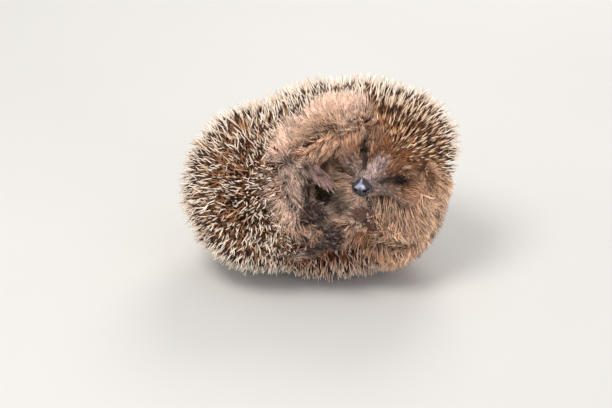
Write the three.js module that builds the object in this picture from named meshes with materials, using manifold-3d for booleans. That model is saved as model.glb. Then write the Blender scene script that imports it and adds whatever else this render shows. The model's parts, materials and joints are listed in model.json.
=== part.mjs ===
// A curled-up hedgehog, asleep, as a life-size still model in named solids.
//
// The solids reach out to the tips of the coat. Millimetres, +Z up, the floor at Z = 0, the origin on the
// floor under the middle of the model. The animal lies on its left side and half on its back, rump towards
// -X, head towards +X, and its belly opening faces -Y and up.
//
// Shapes are set in the curl's own frame: x from rump to head, y from the left flank (below) to the right
// flank (above), z out through the belly opening. The head has a frame of its own, between the eyes:
// x to the animal's right, y to the tip of the nose, z to the forehead.
import * as THREE from "three";
import { mergeVertices } from "three/addons/utils/BufferGeometryUtils.js";
import Module from "manifold-3d";

const wasm = await Module();
wasm.setup();

// ---- driving dimensions ----
const OPENING_RISE = THREE.MathUtils.degToRad(30); // how far the belly opening looks up
const FLOOR = -57.5; // the floor's height in the curl's frame, along the world's up
const GAP = 0.3; // clearance between neighbouring solids
const BLEND = 7; // how softly one body mass runs into the next
const CURL_AXIS = { x: 2, z: 20 }; // the line, along y, that the body is curled around

// Body masses, out to the tips of the spines: middle and half-sizes.
const RUMP = { at: [-35, -5, -6], half: [43, 47.5, 43] };
const BACK = { at: [4, 0, -14], half: [54, 57, 43] };
const NAPE = { at: [28, 20, -6], half: [30, 37.5, 35] };
const SHOULDER = { at: [30, -6, -9], half: [40, 45, 41] };
const CROWN = { at: [42, 17, 11], half: [36.5, 36, 29] };
const CURL_MIDDLE = [2, -1, -10];

// What the curl leaves open in front of the belly, and in front of the face (in the head's frame, leant back).
const BELLY_HOLLOW = { at: [4, 0, 46], half: [26, 36, 33] };
const FACE_HOLLOW = { at: [4, 50, -6], half: [29, 60, 18], lean: THREE.MathUtils.degToRad(40) };
const BELLY = { at: [3, 0, 7], half: [21, 34, 11] };

// The cuts between the body's lengths, as angles round the curl axis from +x towards the back.
const SECTION_CUTS = [-80, 36, 74, 112, 150].map(THREE.MathUtils.degToRad);
const SECTIONS = ["neck", "shoulders", "back", "loin", "rump"];

// The head: where its middle lies between the eyes, and which way the nose and the right eye are from it.
const EYES_MIDDLE = [33.8, 5.4, 25];
const NOSE_WAY = [-12.6, -11.4, 20];
const RIGHT_WAY = [-21.3, 16.8, -2.8];
const SKULL = { at: [0, -12, 1], half: [22, 21, 18] };
const BROW = { at: [0, -3, 5], half: [15, 12, 11] };
const CHEEK = { at: [14, -4, -5], half: [12.5, 14, 12.5] };
const MUZZLE = { from: [0, 2, -2], to: [0, 22, 0], radii: [11, 5.2] };
const JAW = { from: [0, 0, -9], to: [0, 17, -5.5], radii: [8.5, 3.4] };
const MUZZLE_CUT = 11.5; // where the muzzle is parted from the face, forward of the eyes
const HEAD_REACH = { at: [0, -11, 6], half: [46, 29, 46] }; // what of the crown goes with the head
const NOSE = { at: [0, 26, 0.6], half: [5.4, 4.2, 4.5] };
const EYE = { at: [12.8, 5.2, 6.2], radius: 3.1 };
const EAR = { at: [23.5, -5, 9], half: [7.5, 2.2, 7.5], turn: [-0.3, 0.3, 0.5] };

// Limbs: points from the body outwards, the radius at each, then the foot and its toes.
const TOES = 5;
const LIMBS = [
  {
    leg: "foreleg_right",
    foot: "forepaw_right",
    joints: [[24, 29, 9], [9, 23, 16], [-8, 10, 21]],
    radii: [9, 7.5, 5.2],
    sole: { from: [-6.5, 8.3, 23.8], to: [-1.7, 1.8, 26.6], radii: [4.2, 3.4] },
    toes: { length: 10.5, claw: 4.5, radius: 1.6, spread: 0.5 },
    palm: [0.75, 0.65, 0.75],
  },
  {
    leg: "foreleg_left",
    foot: "forepaw_left",
    joints: [[50, -20, 10], [46, -33, 13], [34.5, -30.5, 20.5]],
    radii: [9, 7.5, 5.2],
    sole: { from: [31.5, -28, 22.5], to: [25, -22.5, 26.2], radii: [4.2, 3.4] },
    toes: { length: 8.5, claw: 4.2, radius: 1.6, spread: 0.55 },
    palm: [-0.2, -0.3, 1],
  },
  {
    leg: "hindleg_right",
    foot: "hindfoot_right",
    joints: [[-26, 12, 12], [-14, 2, 24], [-13, -19, 20]],
    radii: [13, 9, 5],
    sole: { from: [-13, -22.5, 21], to: [-4.5, -19.5, 26], radii: [4.2, 4.2] },
    toes: { length: 8.5, claw: 4, radius: 1.8, spread: 0.85 },
    palm: [0.3, -0.2, 1],
  },
  {
    leg: "hindleg_left",
    foot: "hindfoot_left",
    joints: [[-24, -26, 4], [-14, -38, 9], [-5, -38, 14.5]],
    radii: [12, 8, 5],
    sole: { from: [-4, -37, 18], to: [4.5, -33, 23.5], radii: [4.2, 4.2] },
    toes: { length: 8.5, claw: 4, radius: 1.8, spread: 0.85 },
    palm: [0.2, -0.1, 1],
  },
];
const TAIL = { from: [-24, -29, 17], to: [-8, -34, 26], radii: [5, 2.6] };

// How finely surfaces are made: steps along the edges of the icosahedra they are wrapped from.
const BALL_DETAIL = 5;
const FACE_DETAIL = 4;
const HOLLOW_DETAIL = 3;
const PAD_DETAIL = 2;
const BUD_DETAIL = 1;

const COLOURS = {
  spines: { color: 0x8a7561, roughness: 0.6 },
  fur: { color: 0x9c7860, roughness: 0.9 },
  skin: { color: 0x7b625c, roughness: 0.6 },
  nose: { color: 0x3a3238, roughness: 0.25 },
  eye: { color: 0x0c0a0a, roughness: 0.1 },
};

// ---- fields: under 0 inside, rising outwards ----
const vec = (p) => new THREE.Vector3(...p);

function ellipsoidField({ at, half }) {
  const middle = vec(at);
  const inverse = new THREE.Vector3(1 / half[0], 1 / half[1], 1 / half[2]);
  return (p) => {
    const scaled = p.clone().sub(middle).multiply(inverse);
    const steep = scaled.clone().multiply(inverse).length();
    const reach = scaled.length();
    return steep === 0 ? -Math.min(...half) : (reach * (reach - 1)) / steep;
  };
}

function taperField({ from, to, radii }) {
  const start = vec(from);
  const along = vec(to).sub(start);
  return (p) => {
    const way = p.clone().sub(start);
    const share = THREE.MathUtils.clamp(way.dot(along) / along.lengthSq(), 0, 1);
    return way.addScaledVector(along, -share).length() - THREE.MathUtils.lerp(...radii, share);
  };
}

function blendFields(fields, softness) {
  const join = (a, b) => {
    const share = Math.max(softness - Math.abs(a - b), 0) / softness;
    return Math.min(a, b) - (share * share * softness) / 4;
  };
  return (p) => fields.map((field) => field(p)).reduce(join);
}

// The outermost surface of a field as seen from a middle point, grown outwards by an amount.
function wrap(field, middle, detail, grow = 0) {
  const ball = new THREE.IcosahedronGeometry(1, detail);
  const place = ball.getAttribute("position");
  const far = 120;
  const stride = 1;
  for (let i = 0; i < place.count; i++) {
    const way = new THREE.Vector3().fromBufferAttribute(place, i).normalize();
    const at = (t) => way.clone().multiplyScalar(t).add(middle);
    let outside = far;
    while (outside > stride && field(at(outside)) > grow) outside -= stride;
    let inside = outside;
    outside += stride;
    for (let halving = 0; halving < 24; halving++) {
      const t = (inside + outside) / 2;
      if (field(at(t)) > grow) outside = t;
      else inside = t;
    }
    const end = at(inside);
    place.setXYZ(i, end.x, end.y, end.z);
  }
  return ball;
}

// ---- solids ----
function solid(geometry, matrix) {
  const bare = geometry.clone();
  bare.deleteAttribute("normal");
  bare.deleteAttribute("uv");
  if (matrix) bare.applyMatrix4(matrix);
  const merged = mergeVertices(bare, 1e-4);
  const mesh = new wasm.Mesh({
    numProp: 3,
    vertProperties: merged.getAttribute("position").array,
    triVerts: new Uint32Array(merged.index.array),
  });
  return new wasm.Manifold(mesh);
}

function geometryOf(shape) {
  const mesh = shape.getMesh();
  const geometry = new THREE.BufferGeometry();
  geometry.setAttribute("position", new THREE.BufferAttribute(mesh.vertProperties, 3));
  geometry.setIndex(new THREE.BufferAttribute(mesh.triVerts, 1));
  const flat = geometry.toNonIndexed();
  flat.computeVertexNormals();
  return flat;
}

const union = (shapes) => shapes.reduce((a, b) => a.add(b));

function ellipsoid({ at, half }, detail, grow = 0, matrix) {
  const ball = new THREE.IcosahedronGeometry(1, detail);
  ball.scale(half[0] + grow, half[1] + grow, half[2] + grow);
  ball.translate(...at);
  return solid(ball, matrix);
}

// A turned piece whose outline is a list of [distance along, radius], set from one point towards another.
function turned(outline, from, to, sides) {
  const profile = outline.map(([along, radius]) => new THREE.Vector2(radius, along));
  const way = vec(to).sub(vec(from)).normalize();
  const turn = new THREE.Quaternion().setFromUnitVectors(new THREE.Vector3(0, 1, 0), way);
  const matrix = new THREE.Matrix4().compose(vec(from), turn, new THREE.Vector3(1, 1, 1));
  return solid(new THREE.LatheGeometry(profile, sides), matrix);
}

// A limb's length between two balls of different radius.
function taper({ from, to, radii }, grow = 0, sides = 7, rings = 2) {
  const length = vec(from).distanceTo(vec(to));
  const [low, high] = [radii[0] + grow, radii[1] + grow];
  const outline = [];
  for (let ring = 0; ring <= rings; ring++) {
    const angle = ((ring / rings) * Math.PI) / 2;
    outline.push([-low * Math.cos(angle), ring ? low * Math.sin(angle) : 0]);
  }
  for (let ring = rings; ring >= 0; ring--) {
    const angle = ((ring / rings) * Math.PI) / 2;
    outline.push([length + high * Math.cos(angle), ring ? high * Math.sin(angle) : 0]);
  }
  return turned(outline, from, to, sides);
}

// A toe with its claw, from the sole's end.
function toe(from, to, { length, claw, radius }, grow) {
  const wide = radius + grow;
  const outline = [
    [-wide, 0],
    [0, wide],
    [length - 0.2 * wide, 0.85 * wide],
    [length + claw + grow, 0],
  ];
  return turned(outline, from, to, 5);
}

function foot({ sole, toes, palm }, grow = 0) {
  const start = vec(sole.to);
  const forward = vec(sole.to).sub(vec(sole.from)).normalize();
  const out = vec(palm);
  out.addScaledVector(forward, -out.dot(forward)).normalize();
  const across = new THREE.Vector3().crossVectors(out, forward);
  const pieces = [taper(sole, grow, 6)];
  for (let i = 0; i < TOES; i++) {
    const side = i / (TOES - 1) - 0.5;
    const root = start.clone().addScaledVector(across, side * 2.1 * sole.radii[1]);
    root.addScaledVector(forward, -3 * side * side * sole.radii[1]);
    const way = forward.clone().addScaledVector(across, side * toes.spread).addScaledVector(out, 0.12);
    const shorter = { ...toes, length: toes.length * (1 - 1.3 * side * side) };
    pieces.push(toe(root.toArray(), root.clone().add(way).toArray(), shorter, grow));
  }
  return union(pieces);
}

function leg({ joints, radii }, grow = 0) {
  const pieces = [];
  for (let i = 1; i < joints.length; i++) {
    pieces.push(taper({ from: joints[i - 1], to: joints[i], radii: [radii[i - 1], radii[i]] }, grow));
  }
  return union(pieces);
}

// ---- the head's frame ----
const headForward = vec(NOSE_WAY).normalize();
const headUp = new THREE.Vector3().crossVectors(vec(RIGHT_WAY), headForward).normalize();
const headRight = new THREE.Vector3().crossVectors(headForward, headUp);
const headMatrix = new THREE.Matrix4().makeBasis(headRight, headForward, headUp).setPosition(...EYES_MIDDLE);
const headInverse = headMatrix.clone().invert();
const mirrored = ({ at, ...rest }) => ({ at: [-at[0], at[1], at[2]], ...rest });

function face(grow = 0) {
  const field = blendFields(
    [
      ellipsoidField(SKULL),
      ellipsoidField(BROW),
      ellipsoidField(CHEEK),
      ellipsoidField(mirrored(CHEEK)),
      taperField(MUZZLE),
      taperField(JAW),
    ],
    6,
  );
  return solid(wrap(field, vec([0, -4, -4]), FACE_DETAIL, grow), headMatrix);
}

function inHead({ lean = 0, ...shape }, detail, grow = 0) {
  const leaning = new THREE.Matrix4().makeRotationX(lean);
  return ellipsoid(shape, detail, grow, headMatrix.clone().multiply(leaning));
}

function eye(side, grow = 0) {
  const { at, radius } = EYE;
  return inHead({ at: [side * at[0], at[1], at[2]], half: [radius, radius, radius] }, BUD_DETAIL, grow);
}

function ear(side, grow = 0) {
  const { at, half, turn } = EAR;
  const lean = new THREE.Euler(turn[0], turn[1] * side, turn[2] * side);
  const matrix = new THREE.Matrix4().makeRotationFromEuler(lean).setPosition(side * at[0], at[1], at[2]);
  return ellipsoid({ at: [0, 0, 0], half }, BUD_DETAIL, grow, headMatrix.clone().multiply(matrix));
}

// ---- the curled body ----
function curl() {
  const field = blendFields([RUMP, BACK, NAPE, SHOULDER, CROWN].map(ellipsoidField), BLEND);
  return solid(wrap(field, vec(CURL_MIDDLE), BALL_DETAIL));
}

const worldUp = new THREE.Vector3(0, Math.cos(OPENING_RISE), Math.sin(OPENING_RISE));

// Everything above the floor, as a large block set square to the world.
function aboveFloor() {
  const size = 400;
  const turn = new THREE.Quaternion().setFromUnitVectors(new THREE.Vector3(0, 1, 0), worldUp);
  const middle = worldUp.clone().multiplyScalar(FLOOR + size / 2);
  const matrix = new THREE.Matrix4().compose(middle, turn, new THREE.Vector3(1, 1, 1));
  return solid(new THREE.BoxGeometry(size, size, size), matrix);
}

// A thin upright blade from the curl axis outwards.
function sectionBlade(angle) {
  const reach = 120;
  const height = 200;
  const blade = new THREE.BoxGeometry(reach, height, GAP);
  blade.translate(reach / 2 - 1, 0, 0);
  blade.rotateY(angle);
  blade.translate(CURL_AXIS.x, 0, CURL_AXIS.z);
  return solid(blade);
}

// The angle round the curl axis of a body's middle, counted on from the first cut.
function angleOf(shape) {
  const { min, max } = shape.boundingBox();
  const middle = [0, 1, 2].map((axis) => (min[axis] + max[axis]) / 2);
  const angle = Math.atan2(-(middle[2] - CURL_AXIS.z), middle[0] - CURL_AXIS.x);
  return (angle - SECTION_CUTS[0] + 2 * Math.PI) % (2 * Math.PI);
}

const largest = (shape) => shape.decompose().sort((a, b) => b.volume() - a.volume())[0];

// ---- assembly: each solid is cut by those before it, grown by the gap ----
const pieces = [
  { name: "nose", look: "nose", make: (grow) => inHead(NOSE, PAD_DETAIL, grow) },
  { name: "eye_left", look: "eye", make: (grow) => eye(-1, grow) },
  { name: "eye_right", look: "eye", make: (grow) => eye(1, grow) },
  { name: "ear_left", look: "skin", make: (grow) => ear(-1, grow) },
  { name: "ear_right", look: "skin", make: (grow) => ear(1, grow) },
  ...LIMBS.map((limb) => ({ name: limb.foot, look: "skin", make: (grow) => foot(limb, grow) })),
  { name: "face", look: "fur", make: face },
  { name: "tail", look: "fur", make: (grow) => taper(TAIL, grow) },
  ...LIMBS.map((limb) => ({ name: limb.leg, look: "fur", make: (grow) => leg(limb, grow) })),
  { name: "belly", look: "fur", make: (grow) => ellipsoid(BELLY, BUD_DETAIL, grow) },
];

const floorBlock = aboveFloor();
const parts = [];
let taken = null;
for (const { name, look, make } of pieces) {
  const whole = make(0);
  const shape = largest((taken ? whole.subtract(taken) : whole).intersect(floorBlock));
  taken = taken ? taken.add(make(GAP)) : make(GAP);
  parts.push({ name, look, shape });
}

// The face is parted into the muzzle and the rest, which the crown of the head then joins.
const hollowed = curl()
  .subtract(ellipsoid(BELLY_HOLLOW, HOLLOW_DETAIL))
  .subtract(inHead(FACE_HOLLOW, HOLLOW_DETAIL))
  .intersect(floorBlock)
  .subtract(taken);
const headReach = inHead(HEAD_REACH, PAD_DETAIL);
const facePart = parts.find((part) => part.name === "face");
const muzzleBlock = (start) =>
  solid(new THREE.BoxGeometry(80, 80, 80).translate(0, start + 40, 0), headMatrix);
const muzzle = largest(facePart.shape.intersect(muzzleBlock(MUZZLE_CUT + GAP)));
facePart.shape = largest(facePart.shape.subtract(muzzleBlock(MUZZLE_CUT)));
parts.push({ name: "muzzle", look: "fur", shape: muzzle });
parts.push({ name: "crown", look: "spines", shape: largest(hollowed.intersect(headReach)) });

const blades = union(SECTION_CUTS.map(sectionBlade));
const lengths = hollowed
  .subtract(inHead(HEAD_REACH, PAD_DETAIL, GAP))
  .subtract(blades)
  .decompose()
  .sort((a, b) => b.volume() - a.volume())
  .slice(0, SECTIONS.length)
  .sort((a, b) => angleOf(a) - angleOf(b));
lengths.forEach((shape, i) => parts.push({ name: SECTIONS[i], look: "spines", shape }));

// ---- the exported group: the curl's frame turned and set down on the floor ----
const lying = new THREE.Group();
lying.rotation.x = Math.PI / 2 - OPENING_RISE;
for (const { name, look, shape } of parts) {
  const mesh = new THREE.Mesh(geometryOf(shape), new THREE.MeshStandardMaterial(COLOURS[look]));
  mesh.name = name;
  lying.add(mesh);
}
const hedgehog = new THREE.Group();
hedgehog.name = "hedgehog";
hedgehog.add(lying);
hedgehog.updateMatrixWorld(true);
const box = new THREE.Box3().setFromObject(hedgehog, true);
const middle = box.getCenter(new THREE.Vector3());
lying.position.set(-middle.x, -middle.y, -box.min.z);
hedgehog.updateMatrixWorld(true);

export default hedgehog;
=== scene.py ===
"""Dresses a curled-up, sleeping hedgehog's frame: one skin, spines, fur, nose, eyes, claws and whiskers."""

import json
import math

import bpy
import numpy as np
from mathutils import Matrix, Vector
from mathutils.bvhtree import BVHTree
from mathutils.kdtree import KDTree
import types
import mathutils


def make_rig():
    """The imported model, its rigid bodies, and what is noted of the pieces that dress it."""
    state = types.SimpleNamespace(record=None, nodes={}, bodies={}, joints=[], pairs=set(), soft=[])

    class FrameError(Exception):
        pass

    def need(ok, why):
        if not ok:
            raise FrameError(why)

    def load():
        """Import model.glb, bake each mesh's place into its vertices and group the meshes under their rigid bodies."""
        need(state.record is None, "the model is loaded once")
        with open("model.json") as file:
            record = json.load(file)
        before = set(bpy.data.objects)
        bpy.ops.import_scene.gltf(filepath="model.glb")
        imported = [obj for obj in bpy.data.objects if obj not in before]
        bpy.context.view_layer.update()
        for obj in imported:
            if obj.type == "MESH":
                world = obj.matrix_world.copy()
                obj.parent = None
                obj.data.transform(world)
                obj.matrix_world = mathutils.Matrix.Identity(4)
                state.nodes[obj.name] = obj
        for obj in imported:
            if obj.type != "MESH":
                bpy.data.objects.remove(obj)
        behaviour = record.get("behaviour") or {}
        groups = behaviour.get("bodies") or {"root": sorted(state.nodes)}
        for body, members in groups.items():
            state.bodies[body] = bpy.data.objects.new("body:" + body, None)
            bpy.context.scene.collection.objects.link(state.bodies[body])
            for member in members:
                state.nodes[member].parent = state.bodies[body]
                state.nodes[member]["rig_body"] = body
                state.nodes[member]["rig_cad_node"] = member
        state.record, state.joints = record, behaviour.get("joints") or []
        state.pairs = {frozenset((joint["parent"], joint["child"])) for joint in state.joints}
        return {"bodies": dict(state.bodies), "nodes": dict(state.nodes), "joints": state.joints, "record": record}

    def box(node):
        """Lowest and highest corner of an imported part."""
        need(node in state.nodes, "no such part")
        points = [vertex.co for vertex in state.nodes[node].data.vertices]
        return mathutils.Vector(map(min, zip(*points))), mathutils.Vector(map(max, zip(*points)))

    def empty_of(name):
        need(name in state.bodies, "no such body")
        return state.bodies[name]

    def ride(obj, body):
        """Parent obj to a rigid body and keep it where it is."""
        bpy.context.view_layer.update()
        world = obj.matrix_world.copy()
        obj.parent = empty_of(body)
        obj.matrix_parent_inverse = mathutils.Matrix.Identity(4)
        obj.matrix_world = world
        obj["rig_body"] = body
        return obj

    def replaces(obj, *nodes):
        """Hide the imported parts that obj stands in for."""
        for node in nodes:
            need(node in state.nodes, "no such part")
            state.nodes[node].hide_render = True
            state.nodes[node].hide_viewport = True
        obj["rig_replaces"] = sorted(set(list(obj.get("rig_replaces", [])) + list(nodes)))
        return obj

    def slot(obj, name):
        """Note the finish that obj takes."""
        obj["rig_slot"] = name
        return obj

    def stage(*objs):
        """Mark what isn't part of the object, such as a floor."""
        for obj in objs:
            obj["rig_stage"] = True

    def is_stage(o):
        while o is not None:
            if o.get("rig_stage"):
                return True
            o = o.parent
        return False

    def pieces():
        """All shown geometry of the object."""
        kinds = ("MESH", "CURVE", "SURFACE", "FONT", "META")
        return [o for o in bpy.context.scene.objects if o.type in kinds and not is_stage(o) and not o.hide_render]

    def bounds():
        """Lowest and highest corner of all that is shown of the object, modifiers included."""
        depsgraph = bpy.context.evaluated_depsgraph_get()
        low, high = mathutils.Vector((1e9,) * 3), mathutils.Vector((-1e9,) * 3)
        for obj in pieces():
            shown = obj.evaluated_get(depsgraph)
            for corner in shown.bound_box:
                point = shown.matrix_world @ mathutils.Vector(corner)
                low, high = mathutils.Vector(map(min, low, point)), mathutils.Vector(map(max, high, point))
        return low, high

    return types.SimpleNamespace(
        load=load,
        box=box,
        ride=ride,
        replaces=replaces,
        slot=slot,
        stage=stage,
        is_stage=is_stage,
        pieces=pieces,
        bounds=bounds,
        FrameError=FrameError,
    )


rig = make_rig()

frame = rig.load()
CAD_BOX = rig.bounds()

bl_info = {
    "name": "Curled Hedgehog",
    "version": (1, 0, 0),
    "blender": (4, 5, 0),
    "location": "View3D > Sidebar > Hedgehog",
    "description": "Dresses the model of a sleeping hedgehog in skin, spines and fur",
    "category": "Object",
}

MM = 0.001
SEED = 20

# ---- the frame's own places ----
OPENING_RISE = math.radians(30)  # how far the belly opening looks up
ACROSS = np.array((1.0, 0.0, 0.0))  # rump to head
FLANKWARD = np.array((0.0, math.sin(OPENING_RISE), math.cos(OPENING_RISE)))  # to the right flank, on top
OUTWARD = np.array((0.0, -math.cos(OPENING_RISE), math.sin(OPENING_RISE)))  # out of the belly opening
MIDDLE = np.array((CAD_BOX[0] + CAD_BOX[1]) / 2)

FOREPAWS = ("forepaw_right", "forepaw_left")
HINDFEET = ("hindfoot_right", "hindfoot_left")
HINDLEGS = ("hindleg_right", "hindleg_left")
FEET = FOREPAWS + HINDFEET
LEGS = ("foreleg_right", "foreleg_left") + HINDLEGS
TRUNK = ("crown", "neck", "shoulders", "back", "loin", "rump")
EARS = ("ear_right", "ear_left")
EYES = ("eye_right", "eye_left")
FLESH = ("face", "muzzle", "belly", "tail") + TRUNK + LEGS + FEET + EARS

# The line, looking into the belly opening, inside which the coat is fur and outside which it is spines.
# Millimetres to the right and up from the middle of the body.
COAT_RIM = (
    (-22, 5), (-24, 14), (-22, 22), (-14, 31), (-7, 37), (-2, 42), (8, 44), (19, 44), (23, 38), (24, 29),
    (28, 19), (34, 12.5), (42, 6), (49, 3), (59, 2.5), (69, 0), (84, -8), (84, -34), (60, -56), (40, -54),
    (33, -48), (26, -42), (14, -38), (-1, -34), (-11, -34.5), (-19, -30.5), (-20, -18), (-20, -7),
)

# How far the skin lies under each node's surface, in millimetres.
COAT_DEPTH = {"face": 1.7, "muzzle": 1.1, "belly": 3.0, "tail": 1.0, "nose": 1.3}
COAT_DEPTH.update(dict.fromkeys(EYES, 1.0))
COAT_DEPTH.update(dict.fromkeys(LEGS, 2.2))
COAT_DEPTH.update(dict.fromkeys(FEET, 0.1))
COAT_DEPTH.update(dict.fromkeys(EARS, 0.5))


def centre(node):
    """The middle of a node's box."""
    low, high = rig.box(node)
    return np.array((low + high) / 2)


def unit(v):
    """Vectors along the last axis made one long."""
    v = np.asarray(v, float)
    return v / np.maximum(np.linalg.norm(v, axis=-1, keepdims=True), 1e-12)


def ramp(value, start, end):
    """0 before start and 1 past end, with soft ends."""
    t = np.clip((value - start) / (end - start), 0, 1)
    return t * t * (3 - 2 * t)


def hump(value, width):
    """1 where the value is 0, falling softly to about a third at a width to either side."""
    return np.exp(-((value / width) ** 2))


def mix(a, b, share):
    """a at share 0 and b at share 1."""
    return a + (b - a) * share


def nearest_on(tree, points):
    """For each point, what a search tree finds nearest: its place, normal, face number and distance."""
    found = [tree.find_nearest(p) for p in np.asarray(points).tolist()]
    return [np.array([hit[part] for hit in found]) for part in range(4)]


def laid_out(points):
    """Points as millimetres from the body's middle: across, flankward and out of the opening."""
    way = (np.asarray(points) - MIDDLE) / MM
    return way @ ACROSS, way @ FLANKWARD, way @ OUTWARD


class Head:
    """The head's own directions, from the places of the eyes and the nose."""

    eye_right, eye_left, nose = centre("eye_right"), centre("eye_left"), centre("nose")
    eyes = (eye_right, eye_left)
    middle = (eye_right + eye_left) / 2
    right = unit(eye_right - eye_left)
    up = unit(np.cross(right, nose - middle))
    forward = np.cross(up, right)

    @classmethod
    def laid_out(cls, points):
        """Points as millimetres from between the eyes: right, forward and up."""
        way = (np.asarray(points) - cls.middle) / MM
        return way @ cls.right, way @ cls.forward, way @ cls.up


def rim_line():
    """COAT_RIM as a smooth closed line of many points."""
    knots = np.array(COAT_RIM, float)
    before, after, later = np.roll(knots, 1, 0), np.roll(knots, -1, 0), np.roll(knots, -2, 0)
    line = []
    for t in np.arange(0, 1, 0.125):
        square = 2 * before - 5 * knots + 4 * after - later
        cube = 3 * knots - before - 3 * after + later
        line.append(0.5 * (2 * knots + (after - before) * t + square * t**2 + cube * t**3))
    return np.stack(line, 1).reshape(-1, 2)


def inside_rim(points):
    """How far inside the rim points lie, in millimetres: under 0 outside it."""
    x, y, _ = laid_out(points)
    here = np.stack((x, y), 1)
    line = rim_line()
    best = np.full(len(here), np.inf)
    odd = np.zeros(len(here), bool)
    for a, b in zip(line, np.roll(line, -1, 0)):
        share = np.clip(((here - a) @ (b - a)) / ((b - a) @ (b - a)), 0, 1)[:, None]
        best = np.minimum(best, np.linalg.norm(here - a - share * (b - a), axis=1))
        crosses = (a[1] > y) != (b[1] > y)
        if abs(b[1] - a[1]) > 1e-9:
            odd ^= crosses & (x < a[0] + (y - a[1]) / (b[1] - a[1]) * (b[0] - a[0]))
    return np.where(odd, best, -best)


ON_THE_BACK = -12.0  # what counts as the distance inside the rim on the side away from the opening


def opened(points):
    """How far points on the body's surface lie inside the rim, in millimetres, and under 0 on the back."""
    x, _, out = laid_out(points)
    edge = mix(-9.0, -19.0, ramp(x, 30, 50))
    return mix(ON_THE_BACK, inside_rim(points), ramp(out, edge - 5, edge + 5))


# ---- objects and modifiers ----
def alone(piece):
    """Selects one object and makes it the active one."""
    bpy.ops.object.select_all(action="DESELECT")
    piece.select_set(True)
    bpy.context.view_layer.objects.active = piece


def applied(piece, kind, **settings):
    """Adds a modifier with its settings and applies it."""
    alone(piece)
    modifier = piece.modifiers.new(kind.title(), kind)
    for key, value in settings.items():
        setattr(modifier, key, value)
    bpy.ops.object.modifier_apply(modifier=modifier.name)


def read(items, key):
    """A vector that each of a mesh's vertices or faces has, as an array."""
    values = np.empty(len(items) * 3)
    items.foreach_get(key, values)
    return values.reshape(-1, 3)


def places(piece):
    """A mesh's vertex places as an array."""
    return read(piece.data.vertices, "co")


def normals(piece):
    """A mesh's vertex normals as an array."""
    return read(piece.data.vertices, "normal")


def put(piece, co):
    """Moves a mesh's vertices to these places."""
    piece.data.vertices.foreach_set("co", np.asarray(co, float).ravel())
    piece.data.update()


def edited(piece, operator, **settings):
    """Runs one edit-mode operator on the whole of a piece."""
    alone(piece)
    bpy.ops.object.mode_set(mode="EDIT")
    bpy.ops.mesh.select_all(action="SELECT")
    operator(**settings)
    bpy.ops.object.mode_set(mode="OBJECT")
    return piece


def linked(name, data):
    """A new object in the scene with its mesh, lamp or camera."""
    piece = bpy.data.objects.new(name, data)
    bpy.context.scene.collection.objects.link(piece)
    return piece


def node_copy(node):
    """A merged copy of a CAD node's mesh."""
    piece = linked(node + "_copy", frame["nodes"][node].data.copy())
    return edited(piece, bpy.ops.mesh.remove_doubles, threshold=1e-6)


def fattened(piece, by):
    """Moves a mesh's faces out by a distance, or in by one under 0."""
    return edited(piece, bpy.ops.transform.shrink_fatten, value=by)


def joined(pieces, name):
    """Several objects joined into one."""
    bpy.ops.object.select_all(action="DESELECT")
    for piece in pieces:
        piece.select_set(True)
    bpy.context.view_layer.objects.active = pieces[0]
    bpy.ops.object.join()
    pieces[0].name = pieces[0].data.name = name
    return pieces[0]


def weigh(piece, name, weights):
    """Gives a mesh a vertex group with a weight for each vertex, in steps of a hundredth."""
    group = piece.vertex_groups.get(name) or piece.vertex_groups.new(name=name)
    steps = np.round(np.clip(weights, 0, 1) * 100).astype(int)
    for step in np.unique(steps):
        group.add(np.nonzero(steps == step)[0].tolist(), step / 100, "REPLACE")


def smooth_shaded(piece, material):
    """Shades a piece smoothly in a material of its own."""
    piece.data.polygons.foreach_set("use_smooth", np.ones(len(piece.data.polygons), bool))
    piece.data.materials.clear()
    piece.data.materials.append(material)


TOES = 5
TIPS_APART = 2  # least distance between two claws' tips, in millimetres


def claw_tips(node):
    """(tip, way) of each claw on a foot: its sharpest points and the ways they face."""
    mesh = node_copy(node)
    co = places(mesh)
    ways = np.zeros_like(co)
    counts = np.zeros(len(co))
    for edge in mesh.data.edges:
        a, b = edge.vertices
        way = unit(co[b] - co[a])
        ways[a] -= way
        ways[b] += way
        counts[[a, b]] += 1
    sharp = np.linalg.norm(ways, axis=1) / np.maximum(counts, 1)
    tips = []
    for i in np.argsort(-sharp):
        if all(np.linalg.norm(co[i] - co[j]) > TIPS_APART * MM for j in tips):
            tips.append(i)
        if len(tips) == TOES:
            break
    found = [(co[i].copy(), unit(ways[i])) for i in tips]
    bpy.data.objects.remove(mesh)
    return found


# ---- the skin, in millimetres ----
SKIN_VOXEL = 0.6  # across the skin's faces
SHELL_VOXEL = 1.1  # across the faces of the body's outside
SHELL_GROWTH = 0.28  # how far the nodes are grown so that they join in the body's outside
CLAW_LENGTH = 3.9
TOE_RADIUS = 1.3
TOE_LENGTH = 6.5
HEEL = (3.7, 3.7, 3.5)  # half a heel's width, length and height
SPINE_DEPTH = 12.0  # from the trunk's surface down to the skin under spines
FUR_DEPTH = 5.5  # and under fur
EAR_DIP = 4.5  # how much deeper it lies round the right ear
# How many times the sunk body's depths, inward ways and places are averaged with their neighbours'.
DEPTH_STEPS, INWARD_STEPS, PLACE_STEPS = 14, 40, 16


def egg(middle, half, axes):
    """An ellipsoid with its half sizes, in millimetres, along three axes."""
    bpy.ops.object.select_all(action="DESELECT")
    bpy.ops.mesh.primitive_uv_sphere_add(segments=20, ring_count=14, radius=1.0, location=(0, 0, 0))
    piece = bpy.context.object
    put(piece, middle + (places(piece) * np.array(half) * MM) @ np.array(axes))
    return piece


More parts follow.
